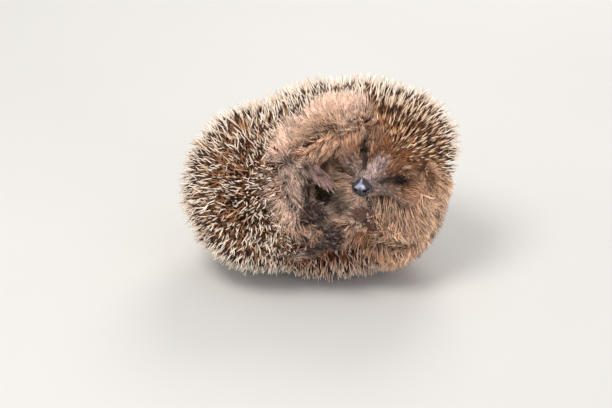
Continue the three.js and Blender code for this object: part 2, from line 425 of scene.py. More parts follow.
def toe(tip, way):
    """A rounded toe that a claw grows from."""
    bpy.ops.object.select_all(action="DESELECT")
    bpy.ops.mesh.primitive_uv_sphere_add(
        segments=16, ring_count=12, radius=TOE_RADIUS * MM, location=(0, 0, 0)
    )
    piece = bpy.context.object
    co = places(piece) / MM
    aside = unit(np.cross(way, OUTWARD))
    over = np.cross(aside, way)
    along = co[:, 2] * 1.1 + np.where(co[:, 2] < 0, -TOE_LENGTH, 0.0)
    spot = along[:, None] * way + co[:, :1] * aside + (co[:, 1:2] * 1.1) * over
    put(piece, tip + (spot - way * (CLAW_LENGTH + 0.2)) * MM)
    return piece


def bare_foot(node):
    """A foot made on its CAD node, without the claws: heel, instep, ball and five toes."""
    tips = claw_tips(node)
    co = places(frame["nodes"][node])
    ends = np.array([tip for tip, _ in tips])
    heel = co[np.argmax(np.linalg.norm(co - ends.mean(0), axis=1))]
    knuckles = np.array([tip - way * (CLAW_LENGTH + TOE_LENGTH + 0.5) * MM for tip, way in tips])
    ball = knuckles.mean(0)
    along = unit(ball - heel)
    apart = knuckles[:, None] - knuckles[None]
    far = np.unravel_index(np.argmax(np.linalg.norm(apart, axis=2)), (len(tips), len(tips)))
    across = unit(tangent(apart[far][None], along[None])[0])
    axes = (across, along, np.cross(across, along))
    wide = np.linalg.norm(apart[far]) / 2 / MM + 0.6
    start = heel + along * HEEL[1] * MM
    pieces = [
        egg(start, HEEL, axes),
        egg((start + ball) / 2, (mix(3.6, wide, 0.4), 3.8, 3.1), axes),
        egg(ball, (wide, 2.8, 2.5), axes),
    ]
    return joined(pieces + [toe(tip, way) for tip, way in tips], node + "_bare")


def fleshy_copy(node):
    """A node's copy, ready to become skin."""
    return bare_foot(node) if node in FEET else node_copy(node)


def triangles(mesh):
    """A mesh's triangles as an array of vertex numbers."""
    mesh.calc_loop_triangles()
    corners = np.empty(len(mesh.loop_triangles) * 3, int)
    mesh.loop_triangles.foreach_get("vertices", corners)
    return corners.reshape(-1, 3)


class Surface:
    """The CAD model's whole outside as one closed mesh, with the node that each part of it belongs to."""

    def __init__(self):
        verts, tris, owners = [], [], []
        start = 0
        for name in FLESH + EYES + ("nose",):
            mesh = frame["nodes"][name].data
            tris.append(triangles(mesh) + start)
            verts.append(places(frame["nodes"][name]))
            owners += [name] * len(tris[-1])
            start += len(mesh.vertices)
        nodes = BVHTree.FromPolygons(np.concatenate(verts).tolist(), np.concatenate(tris).tolist())
        parts = [fattened(fleshy_copy(n), SHELL_GROWTH * MM) for n in FLESH + EYES + ("nose",)]
        self.shell = joined(parts, "body")
        applied(self.shell, "REMESH", mode="VOXEL", voxel_size=SHELL_VOXEL * MM)
        co, faces = places(self.shell), triangles(self.shell.data)
        middles = co[faces].mean(1)
        self.owners = np.array(owners)[nearest_on(nodes, middles)[2]]
        self.tree = BVHTree.FromPolygons(co.tolist(), faces.tolist())

    def nearest(self, points):
        """For each point, the nearest node's name, how far off its surface is and the place there."""
        place, _, face, distance = nearest_on(self.tree, points)
        return self.owners[face], distance, place


def trunk_depth(points):
    """How deep the skin lies under the trunk's surface: deep under spines, shallow under fur."""
    return mix(SPINE_DEPTH, FUR_DEPTH, ramp(opened(points), -5, 5))


def evened(mesh, values, steps):
    """Values for each vertex, averaged with their neighbours' in several steps."""
    edges = np.empty(len(mesh.edges) * 2, int)
    mesh.edges.foreach_get("vertices", edges)
    a, b = edges.reshape(-1, 2).T
    ends = np.concatenate((a, b))
    others = np.concatenate((b, a))
    count = np.bincount(ends, minlength=len(values))[:, None]
    values = values.reshape(len(values), -1)
    for _ in range(steps):
        around = np.stack([np.bincount(ends, column[others], len(values)) for column in values.T], 1)
        values = (values + around / np.maximum(count, 1)) / 2
    return values


def sunk_body(surface):
    """The body's outside, sunk under the coat."""
    body = surface.shell
    co = places(body)
    owners, _, _ = surface.nearest(co)
    fixed = np.array([COAT_DEPTH.get(name, 0) for name in owners])
    ear = np.linalg.norm(co - centre("ear_right"), axis=1) / MM
    depth = np.where(fixed > 0, fixed, trunk_depth(co) + EAR_DIP * (1 - ramp(ear, 6, 12)))
    depth = evened(body.data, depth, DEPTH_STEPS)[:, 0]
    inward = -unit(evened(body.data, normals(body), INWARD_STEPS))
    sunk = co + inward * (depth * MM)[:, None]
    soft = ramp(depth, 1.5, 4.0)[:, None]
    put(body, mix(sunk, evened(body.data, sunk, PLACE_STEPS), soft))
    return body


def eye_frame(eye):
    """An eye's outward, noseward and upward directions, the last two across its lids."""
    out = unit(eye - Head.middle + 6 * MM * Head.up + 9 * MM * Head.forward)
    nose_way = Head.nose - eye
    along = unit(nose_way - (nose_way @ out) * out)
    up = np.cross(out, along)
    return out, along, up * np.sign(up @ Head.up)


# The eyes and their lids, in millimetres.
EYE_RADIUS = 2.8
EYE_SUNK = 1.5  # how far an eyeball's middle lies behind the middle of its CAD node
LID_THICKNESS = 0.4
LID_REACH = 6.5  # how far the lids' shape reaches from an eye's middle
LID_FINE = 5.5  # and how far the skin's finer faces do
SLIT_HALF = 2.2  # half the slit's length
SLIT_OPEN = 0.24  # half its height
# Each fold in the lids: how far above the slit, how wide and how deep beside the others.
LID_FOLDS = ((1.5, 0.22, 1.0), (2.3, 0.25, 0.7), (-1.5, 0.22, 0.8))


def eyeball_middle(eye):
    """Where an eyeball's middle is."""
    return eye - eye_frame(eye)[0] * EYE_SUNK * MM


def lids(co):
    """Lays lids over the eyeballs, all but closed, with a fold above and below each."""
    for eye in Head.eyes:
        out, along, up = eye_frame(eye)
        way = (co - eyeball_middle(eye)) / MM
        u, v, w = way @ along, way @ up, way @ out
        flat = np.hypot(u, v)
        near = (w > -2.5) & (flat < LID_REACH)
        cover = EYE_RADIUS + LID_THICKNESS
        dome = np.sqrt(np.maximum(cover**2 - flat**2, 0))
        brim = mix(1.7, w, ramp(flat, 2.4, LID_REACH))
        height = (dome + brim + np.hypot(dome - brim, 0.6)) / 2
        slit_at = 0.10 * u**2 - 0.35
        half = SLIT_OPEN * np.sqrt(np.maximum(1 - (u / SLIT_HALF) ** 2, 0))
        gap = np.abs(v - slit_at) - half
        ends = 1 - ramp(np.abs(u), SLIT_HALF - 0.3, SLIT_HALF + 0.2)
        height = height - 1.0 * (1 - ramp(gap, 0.0, 0.3)) * ends
        height = height + 0.16 * hump(gap - 0.42, 0.22) * ends
        folds = sum(deep * hump(v - slit_at - above, width) for above, width, deep in LID_FOLDS)
        height = height - 0.22 * folds * (1 - ramp(flat, 2.6, 3.6))
        move = np.where(near, height - w, 0)
        co = co + move[:, None] * out * MM
    return co


SEAT_FORWARD = 21.6  # where the nose pad's seat lies in front of the eyes, in millimetres
SEAT_REACH = 9  # how far from the nose's middle the seat reaches
MUZZLE_AXIS_UP = 0.6  # how far above the eyes' level the muzzle's own axis runs
MUZZLE_FULLER = 1.2  # by how much the muzzle is widened round the pad


def nose_seat(co):
    """Draws the muzzle's tip back behind the nose pad and makes it fuller round the pad."""
    right, forward, up = Head.laid_out(co)
    up = up - MUZZLE_AXIS_UP
    off = np.linalg.norm(co - Head.nose, axis=1) / MM
    back = np.where(off < SEAT_REACH, np.maximum(forward - SEAT_FORWARD, 0) * 0.95, 0)
    away = unit(right[:, None] * Head.right + up[:, None] * Head.up)
    full = MUZZLE_FULLER * ramp(off, 5, 8) * (1 - ramp(off, 9, 15)) * ramp(np.hypot(right, up), 1.0, 3.0)
    return co - (back * MM)[:, None] * Head.forward + (full * MM)[:, None] * away


def mouth(co):
    """Cuts the mouth's line under the muzzle and the groove from the nose down to it."""
    right, forward, up = Head.laid_out(co)
    lip = -6.6 + 0.012 * right**2 - 0.10 * (forward - 17)
    front = ramp(forward, -2.0, 6.0) * (np.abs(right) < 11)
    cut = hump(up - lip, 0.55) * front * 0.9
    groove = hump(right, 0.5) * ramp(forward, 15, 18) * (up < -2) * (up > lip) * 0.7
    move = ((cut + groove) * MM)[:, None]
    return co - move * Head.forward * 0.4 + move * Head.up * 0.6


EAR_HOLLOW = 1.5  # how deep the front of an ear is hollowed, in millimetres


def ear_cups(co, owners):
    """Hollows the front of each ear."""
    for name, side in zip(EARS, (0.5, -0.5)):
        front = unit(Head.forward * 0.75 + Head.right * side + Head.up * 0.1)
        way = (co - centre(name)) / MM
        ahead = way @ front
        across = np.linalg.norm(way - ahead[:, None] * front, axis=1)
        dent = (1 - ramp(across, 2.0, 6.2)) * ramp(ahead, 0.2, 1.2) * (owners == name)
        co = co - (EAR_HOLLOW * dent * MM)[:, None] * front
    return co


def select_near(piece, points, reach):
    """Selects the faces that lie within reach of any of the points."""
    mesh = piece.data
    middles = read(mesh.polygons, "center")
    close = np.zeros(len(middles), bool)
    for point in points:
        close |= np.linalg.norm(middles - point, axis=1) < reach
    mesh.polygons.foreach_set("select", close)
    mesh.vertices.foreach_set("select", np.zeros(len(mesh.vertices), bool))
    mesh.edges.foreach_set("select", np.zeros(len(mesh.edges), bool))


def finer(piece, points, reach, cuts):
    """Divides the faces near some points."""
    alone(piece)
    bpy.ops.object.mode_set(mode="EDIT")
    bpy.ops.mesh.select_mode(type="FACE")
    bpy.ops.object.mode_set(mode="OBJECT")
    select_near(piece, points, reach)
    bpy.ops.object.mode_set(mode="EDIT")
    bpy.ops.mesh.subdivide(number_cuts=cuts, smoothness=0)
    bpy.ops.object.mode_set(mode="OBJECT")


def between_toes(points, name):
    """1 in the creases between a foot's toes, 0 on the toes and on the back of the foot."""
    off = np.full(len(points), np.inf)
    back = np.zeros(len(points))
    for tip, way in claw_tips(name):
        behind = (tip - points) @ way / MM - CLAW_LENGTH
        axis = tip - (np.clip(behind, 0, 12) + CLAW_LENGTH)[:, None] * way * MM
        here = np.linalg.norm(points - axis, axis=1) / MM
        back = np.where(here < off, behind, back)
        off = np.minimum(off, here)
    return ramp(off, 1.2, 2.2) * (1 - ramp(back, 7.0, 12.0)) * ramp(back, -3, 0)


TOE_GROOVE = 0.8  # how deep the skin is sunk between toes, in millimetres


def toe_grooves(co, owners, normal):
    """Sinks the skin between the toes of each foot."""
    for name in FEET:
        mine = owners == name
        co[mine] -= TOE_GROOVE * MM * between_toes(co[mine], name)[:, None] * normal[mine]
    return co


def thinned(piece, spare, share):
    """Joins up faces where the spare weights are high, until a share of them is left."""
    weigh(piece, "spare", spare)
    applied(piece, "DECIMATE", ratio=share, vertex_group="spare", vertex_group_factor=3.0)


SKIN_KEPT = 0.30  # the share of the skin's faces that thinning leaves


def make_skin(surface):
    """The whole skin: the sunk body joined with the face and limbs at their own depths."""
    body = sunk_body(surface)
    fresh = [n for n in FLESH if n not in TRUNK and n != "belly"]
    parts = [fattened(fleshy_copy(n), -COAT_DEPTH[n] * MM) for n in fresh]
    skin = joined([body] + parts, "skin")
    skin.vertex_groups.clear()
    applied(skin, "REMESH", mode="VOXEL", voxel_size=SKIN_VOXEL * MM)
    owners, depth, _ = surface.nearest(places(skin))
    feet = np.isin(owners, FEET + EARS)
    weigh(skin, "soft", np.where(feet, 0.15, 1.0))
    applied(skin, "SMOOTH", factor=0.5, iterations=8, vertex_group="soft")
    put(skin, toe_grooves(places(skin), owners, normals(skin)))
    weigh(skin, "soft", feet * 0.6)
    applied(skin, "SMOOTH", factor=0.5, iterations=2, vertex_group="soft")
    fine = feet | np.isin(owners, ("face", "muzzle", "nose") + EYES) & (depth < 2.5 * MM)
    thinned(skin, np.where(fine, 0.02, 1.0), SKIN_KEPT)
    finer(skin, Head.eyes, LID_FINE * MM, 2)
    owners, _, _ = surface.nearest(places(skin))
    co = lids(mouth(nose_seat(ear_cups(places(skin), owners))))
    co[:, 2] = np.maximum(co[:, 2], 0.0)
    put(skin, co)
    skin.data.validate()
    return skin


# ---- materials ----
def srgb(red, green, blue):
    """A colour from the usual 0 to 255 scale, as light."""
    shares = (red / 255, green / 255, blue / 255)
    return tuple(c / 12.92 if c <= 0.04045 else ((c + 0.055) / 1.055) ** 2.4 for c in shares)


class Value:
    """A material's number or colour, which sums can be written with."""

    def __init__(self, look, socket):
        self.look, self.socket = look, socket

    def done(self, operation, other, swapped=False):
        """The Math node for a sum of this value and another, which comes first if they are swapped."""
        first, second = (other, self) if swapped else (self, other)
        return self.look.node("ShaderNodeMath", {"operation": operation}, {0: first, 1: second})

    def __add__(self, other):
        return self.done("ADD", other)

    def __sub__(self, other):
        return self.done("SUBTRACT", other)

    def __rsub__(self, other):
        return self.done("SUBTRACT", other, True)

    def __mul__(self, other):
        return self.done("MULTIPLY", other)

    def __pow__(self, other):
        return self.done("POWER", other)

    __radd__, __rmul__ = __add__, __mul__


class Look:
    """A material being made, with a method for each kind of node that the materials use."""

    def __init__(self, name):
        self.material = bpy.data.materials.new(name)
        self.material.use_nodes = True
        self.tree = self.material.node_tree
        self.tree.nodes.clear()

    def node(self, kind, settings=None, sockets=None, out=0):
        """Adds a node with its settings and its sockets' values or links."""
        made = self.tree.nodes.new(kind)
        for key, value in (settings or {}).items():
            if key == "stops":
                stops = made.color_ramp.elements
                while len(stops) < len(value):
                    stops.new(0.5)
                for stop, (at, colour) in zip(stops, value):
                    stop.position = at
                    stop.color = (*colour, 1)
            else:
                setattr(made, key, value)
        for key, value in (sockets or {}).items():
            if isinstance(value, Value):
                self.tree.links.new(value.socket, made.inputs[key])
            else:
                slot = made.inputs[key]
                slot.default_value = (*value, 1) if slot.type == "RGBA" else value
        return Value(self, made.outputs[out]) if len(made.outputs) else None

    def place(self):
        """The place on the object."""
        return self.node("ShaderNodeTexCoord", out=3)

    def number(self, name):
        """A number stored on the mesh."""
        return self.node("ShaderNodeAttribute", {"attribute_name": name}, out=2)

    def colour(self, name):
        """A colour stored on the mesh."""
        return self.node("ShaderNodeAttribute", {"attribute_name": name}, out=0)

    def noise(self, scale, detail=3.0):
        """Cloudy variation, with features 1 / scale metres across."""
        sockets = {"Vector": self.place(), "Scale": scale, "Detail": detail, "Roughness": 0.5}
        return self.node("ShaderNodeTexNoise", {}, sockets)

    def cells(self, scale):
        """Distance within cells 1 / scale metres across."""
        return self.node("ShaderNodeTexVoronoi", {}, {"Vector": self.place(), "Scale": scale})

    def blended(self, share, first, second, way="MIX"):
        """One colour laid over another."""
        settings = {"data_type": "RGBA", "blend_type": way}
        return self.node("ShaderNodeMix", settings, {0: share, 6: first, 7: second}, 2)

    def spread(self, value, stops):
        """A number turned to colours."""
        return self.node("ShaderNodeValToRGB", {"stops": stops}, {0: value})

    def brightened(self, colour, by):
        """A colour times a number."""
        return self.node("ShaderNodeVectorMath", {"operation": "SCALE"}, {0: colour, "Scale": by})

    def bump(self, height, strength, distance):
        """A Normal from a height."""
        return self.node("ShaderNodeBump", {}, {"Strength": strength, "Distance": distance, "Height": height})

    def surface(self, **sockets):
        """Ends the material in a Principled shader."""
        named = {key.replace("_", " "): value for key, value in sockets.items()}
        shader = self.node("ShaderNodeBsdfPrincipled", {}, named)
        self.node("ShaderNodeOutputMaterial", {}, {"Surface": shader})
        return self.material


def spine_look():
    """Banded keratin: a tan base, a dark brown band under a cream tip."""
    colours = bpy.context.scene.hedgehog_spines
    look = Look("banded_spine")
    tint = look.number("tint")
    dusk = look.number("dusk")
    at = look.number("along") + (tint - 0.5) * 0.16 + look.number("frosted") * 0.07
    stops = [
        (0.0, colours.base), (0.38, colours.base), (0.50, colours.band), (0.68, colours.band),
        (0.78, colours.tip), (1.0, colours.point),
    ]
    bands = look.spread(at, stops)
    bands = look.blended(look.number("pale") * 0.7, bands, colours.base)
    shaded = look.brightened(bands, 0.80 + tint * 0.56)
    gilt = look.blended(1.0, shaded, srgb(236, 202, 152), "MULTIPLY")
    shaded = look.blended(look.number("gold") * 0.45, shaded, gilt)
    # The lower mantle's spines are darker and oranger below their tips: partly their own brown, partly painted shade.
    low = dusk * 0.9 * (1.0 - look.number("along") ** 6.0)
    lower_shaded_brown = look.blended(low, shaded, look.blended(1.0, shaded, srgb(172, 112, 68), "MULTIPLY"))
    rough = 0.34 + look.noise(2500.0) * 0.2
    return look.surface(Base_Color=lower_shaded_brown, Roughness=rough, Specular_IOR_Level=0.45)


def fur_look():
    """Hair that runs from a root darkened with painted shade to its own colour at the tip."""
    look = Look("coarse_hair")
    tint = look.number("tint")
    along = look.number("along")
    tip = look.colour("dye")
    # Darker towards the root: partly the hair's own darker root, partly painted shade where the coat shades itself.
    root = look.blended(1.0, tip, srgb(100, 76, 64), "MULTIPLY")
    colour = look.blended(along**0.7, root, tip)
    ticked = look.blended(look.number("frost") * along, colour, srgb(255, 228, 204))
    shaded = look.brightened(ticked, 0.42 + tint * 1.30)
    return look.surface(Base_Color=shaded, Roughness=0.5 + tint * 0.15, Specular_IOR_Level=0.35)


def skin_look():
    """Soft skin in the coat's own colours, finely creased."""
    look = Look("creased_skin")
    cloud = look.noise(420.0, 4.0)
    creases = look.cells(1500.0)
    colour = look.brightened(look.colour("dye"), 0.72 + cloud * 0.55)
    height = creases * 0.6 + look.noise(2600.0) * 0.4
    return look.surface(
        Base_Color=colour, Roughness=0.56 + creases * 0.25, Specular_IOR_Level=0.25,
        Normal=look.bump(height, 0.35, 0.0004),
    )


def nose_look():
    """Wet, finely grained nose leather, with painted shade in its folds and on its underside."""
    look = Look("wet_nose")
    grain = look.cells(2300.0)
    cloud = look.noise(500.0, 3.0)
    fold = look.number("fold")
    colour = look.blended(cloud, srgb(30, 23, 28), srgb(64, 55, 68))
    # Painted reflection: the pad's top is paler and bluer where the stored attribute is high.
    shine = look.blended(cloud, srgb(112, 112, 138), srgb(186, 190, 218))
    colour = look.blended(look.number("crest"), colour, shine)
    # Painted shade in the nostrils, the groove and on the underside.
    colour = look.blended(fold, colour, srgb(24, 16, 15))
    height = grain * 0.8 + look.noise(5200.0) * 0.2
    return look.surface(
        Base_Color=colour, Roughness=0.24 + grain * 0.22, Coat_Weight=0.55 - fold * 0.3, Coat_Roughness=0.12,
        Specular_IOR_Level=0.5, Normal=look.bump(height, 0.3, 0.0002),
    )


def eye_look():
    """A dark wet eye, a little browner in places."""
    look = Look("wet_eye")
    cloud = look.noise(900.0)
    colour = look.blended(cloud, srgb(10, 7, 6), srgb(26, 17, 12))
    return look.surface(
        Base_Color=colour, Roughness=0.06 + cloud * 0.03, Specular_IOR_Level=0.6, Coat_Weight=0.6
    )


def claw_look():
    """A horny claw, pinkish where it leaves the toe and paler to its tip."""
    look = Look("claw_horn")
    along = look.number("along")
    dim = look.number("dim")
    stops = [(0.0, srgb(120, 88, 80)), (0.45, srgb(168, 136, 122)), (1.0, srgb(214, 196, 180))]
    colour = look.spread(along, stops)
    streaks = look.noise(1800.0, 2.0)
    return look.surface(
        Base_Color=look.brightened(colour, (0.8 + streaks * 0.35) * dim), Roughness=0.32 + streaks * 0.2,
        Specular_IOR_Level=0.5, Normal=look.bump(streaks, 0.2, 0.0002),
    )


def whisker_look():
    """A dark whisker, paler to its tip."""
    look = Look("whisker")
    tint = look.number("tint")
    colour = look.blended(look.number("along"), srgb(40, 30, 28), srgb(150, 135, 125))
    return look.surface(Base_Color=look.brightened(colour, 0.7 + tint * 0.4), Roughness=0.4 + tint * 0.1)


def floor_look():
    """A pale, matt floor, faintly clouded."""
    look = Look("pale_floor")
    colour = look.blended(look.noise(6.0), srgb(226, 224, 220), srgb(232, 230, 227))
    return look.surface(Base_Color=colour, Roughness=0.85)


# ---- colours over the body, shared by the skin and the coat ----
TAN = np.array(srgb(238, 190, 150))
PINK_BEIGE = np.array(srgb(254, 223, 207))
CREAM = np.array(srgb(247, 205, 172))
BROWN = np.array(srgb(178, 116, 72))
ORANGE = np.array(srgb(204, 132, 80))
LAVENDER = np.array(srgb(232, 206, 208))
GREY = np.array(srgb(190, 162, 158))
DARK = np.array(srgb(76, 56, 50))
SOOT = np.array(srgb(34, 26, 24))
BARE = np.array(srgb(174, 139, 135))
# The left forepaw's bare skin is darker and browner: partly its own brown, partly painted shade.
BARE_BROWN_SHADED = np.array(srgb(126, 90, 78))
BARE_DARK = np.array(srgb(78, 64, 66))
SOLE_DYES = {"forepaw_right": BARE, "forepaw_left": BARE_BROWN_SHADED}  # the hind feet's are BARE_DARK
EVEN_DYES = {
    "foreleg_right": CREAM * 1.35, "foreleg_left": CREAM, "tail": DARK * 2.0,
    # the left forepaw's hair is darker too: partly its own brown, partly painted shade
    "forepaw_right": BARE * 1.2, "forepaw_left": BARE_BROWN_SHADED * 1.2,
    "hindfoot_right": DARK * 2.0, "hindfoot_left": DARK * 2.0,
    # the right ear's hair is near black: painted shadow of its hollow
    "ear_right": SOOT, "ear_left": mix(BROWN, CREAM, 0.5) * 0.8,
}  # of the parts whose hair has one colour all over


def near_line(points, start, end, width):
    """1 on the line from start to end, falling to 0 at a width from it, in millimetres."""
    way = end - start
    share = np.clip(((points - start) @ way) / (way @ way), 0, 1)[:, None]
    off = np.linalg.norm(points - start - share * way, axis=1) / MM
    return 1 - ramp(off, width * 0.35, width)


def cheeks(points):
    """1 on the sides and back of the head's lower half, 0 over the forehead and muzzle."""
    right, forward, up = Head.laid_out(points)
    low = ramp(-up, 4, 11)
    side = ramp(np.abs(right), 15, 21)
    return np.clip(low + side, 0, 1) * (1 - ramp(forward, 1, 9))


def headed(points):
    """1 over the forehead and between the ears, on whatever node that is."""
    _, _, up = Head.laid_out(points)
    away = np.linalg.norm(points - Head.middle, axis=1) / MM
    return (1 - ramp(away, 25, 33)) * ramp(up, -4, 3)


def from_slit(points):
    """How far points lie from the nearer eye's slit, in millimetres, with more for the way across it."""
    off = []
    for eye in Head.eyes:
        out, along, up = eye_frame(eye)
        way = (points - eye) / MM
        off.append(np.sqrt((way @ along) ** 2 + (1.7 * (way @ up)) ** 2 + (way @ out) ** 2))
    return np.min(off, 0)


STREAKS = ((0.18, 4.4), (0.36, 3.6), (0.55, 2.9))  # shares of the way to the nose, and widths


def eye_streak(points):
    """1 in the dark streak that narrows from each eye towards the nose."""
    dark = np.zeros(len(points))
    for eye in Head.eyes:
        for share, width in STREAKS:
            dark = np.maximum(dark, near_line(points, eye, mix(eye, Head.nose, share), width))
    return dark


def face_dye(points):
    """The colour of the face's hair."""
    right, forward, up = Head.laid_out(points)
    colour = np.tile(BROWN, (len(points), 1))
    colour = mix(colour, CREAM * 1.05, 0.75 * cheeks(points)[:, None])
    muzzle = ramp(forward, 1.0, 12.0)[:, None]
    colour = mix(colour, GREY, 0.85 * muzzle)
    # The muzzle's bridge, a little right of the middle, is pale lavender: partly its own pale hair, partly painted
    # light on its lit side.
    pale_and_lit_bridge = (1 - ramp(np.abs(right - 1.0), 1.5, 5.0)) * ramp(forward, 0.0, 6.0) * ramp(up, -4.0, 0.0)
    colour = mix(colour, LAVENDER * 1.15, 0.9 * pale_and_lit_bridge[:, None])
    brow = hump(up - 4.5, 2.2) * hump(np.abs(right) - 12.5, 4.5)
    colour = mix(colour, CREAM * 0.7, (0.6 * brow)[:, None])
    # Darker under the chin: partly the chin's own darker hair, partly painted shade.
    chin_hair_and_shade = (ramp(-up, 6.0, 11.0) * ramp(forward, -4.0, 8.0))[:, None]
    colour = mix(colour, DARK * 2.2, 0.4 * chin_hair_and_shade)
    colour = mix(colour, DARK * 0.8, 0.88 * eye_streak(points)[:, None])
    return mix(colour, SOOT, (0.97 * (1 - ramp(from_slit(points), 3.4, 6.0)))[:, None])


def ear_shadow_hair(points):
    """1 on the short hair over the top of the right ear, painted near black as the shadow of the ear's hollow."""
    top = centre("ear_right") + 2.6 * MM * FLANKWARD
    return 1 - ramp(np.linalg.norm(points - top, axis=1) / MM, 5.0, 8.0)


def body_dye(points, owners):
    """The colour of the coat over the whole body, for places on its surface."""
    x, y, out = laid_out(points)
    inside = opened(points)
    colour = np.tile(PINK_BEIGE, (len(points), 1))
    ruff = (ramp(x, 18, 32) * ramp(-y, -14, 0))[:, None]
    colour = mix(colour, CREAM, ruff)
    from_ear = (points - centre("ear_right")) / MM
    near_ear = (1 - ramp(np.linalg.norm(from_ear, axis=1), 6, 13)) * ramp(-from_ear @ FLANKWARD, -4, 3)
    colour = mix(colour, BROWN, 0.7 * near_ear[:, None])
    # Painted shadow: the short hair over the right ear's hollow is near black.
    colour = mix(colour, SOOT * 1.5, 0.95 * ear_shadow_hair(points)[:, None])
    deep = (ramp(inside, 9, 18) * (1 - ramp(x, 10, 24)))[:, None]
    colour = mix(colour, TAN * 0.8, deep)
    # Painted shade: the coat in the hollow near the middle of the opening is made dark.
    hollow = 1 - ramp(np.hypot((x - 9.0) / 9.0, (y + 14.5) / 7.5), 0.7, 1.4)
    colour = mix(colour, DARK * 0.6, 0.9 * hollow[:, None])
    # The lower mantle's fur is darker and oranger: partly its own colour, partly painted shade.
    skirt = (ramp(-y, 22, 32) * ramp(x, -22, -10) * (1 - ramp(x, 26, 40)) * ramp(out, -20, 0))[:, None]
    colour = mix(colour, ORANGE * 0.8, 0.9 * skirt)
    colour = mix(colour, face_dye(points), headed(points)[:, None])
    face = np.isin(owners, ("face", "muzzle", "nose") + EYES)
    colour[face] = face_dye(points[face])
    hind = np.isin(owners, HINDLEGS)
    thigh = (1 - ramp(x, -15, -9))[:, None]
    colour[hind] = mix(DARK * 2.6, PINK_BEIGE, thigh[hind])
    # Painted shade: the belly, deep in the curl, is made very dark, lighter only towards the chest.
    chest = (ramp(y, -9, -1) * ramp(x, -2, 8))[:, None]
    colour[owners == "belly"] = mix(TAN * 0.10, CREAM * 0.6, chest)[owners == "belly"]
    for name, dye in EVEN_DYES.items():
        colour[owners == name] = dye
    return colour


def skin_dye(points, owners):
    """The colour of the skin: darkened under the coat as painted shade in the gaps between hairs and spines, and bare
    on feet and ears.
    """
    spiny = (1 - ramp(opened(points), 0, 5))[:, None] * np.isin(owners, TRUNK)[:, None]
    # Painted shade: under the coat the skin is made much darker than the coat, for the gaps between hairs and spines.
    colour = mix(body_dye(points, owners) * 0.22, DARK * 0.5, spiny)
    for name in FEET:
        mine = owners == name
        # Painted shade: the creases between the toes are made dark.
        crease_shade = between_toes(points[mine], name)[:, None]
        colour[mine] = mix(SOLE_DYES.get(name, BARE_DARK), DARK * 0.4, 0.9 * crease_shade)
    # The right ear's skin is near black: painted shadow of its hollow.
    colour[owners == "ear_right"] = SOOT
    colour[owners == "ear_left"] = BROWN * 0.4
    colour[np.isin(owners, EYES)] = SOOT
    return mix(colour, SOOT, (1 - ramp(from_slit(points), 3.2, 5.2))[:, None])


def store(piece, name, values):
    """Stores a number or a colour for each vertex."""
    values = np.asarray(values, float)
    if values.ndim == 2:
        layer = piece.data.attributes.new(name, "FLOAT_COLOR", "POINT")
        rgba = np.concatenate((values, np.ones((len(values), 1))), 1)
        layer.data.foreach_set("color", rgba.ravel())
    else:
        piece.data.attributes.new(name, "FLOAT", "POINT").data.foreach_set("value", values)


# ---- growing the coat ----
PATTERN_VOXEL = 3  # millimetres across the faces of the pattern that the coat's maps are laid out on
PATCH = 0.003  # how wide each strand's patch is on the map
LEAST_RISE = 0.5  # millimetres that strands keep above the floor


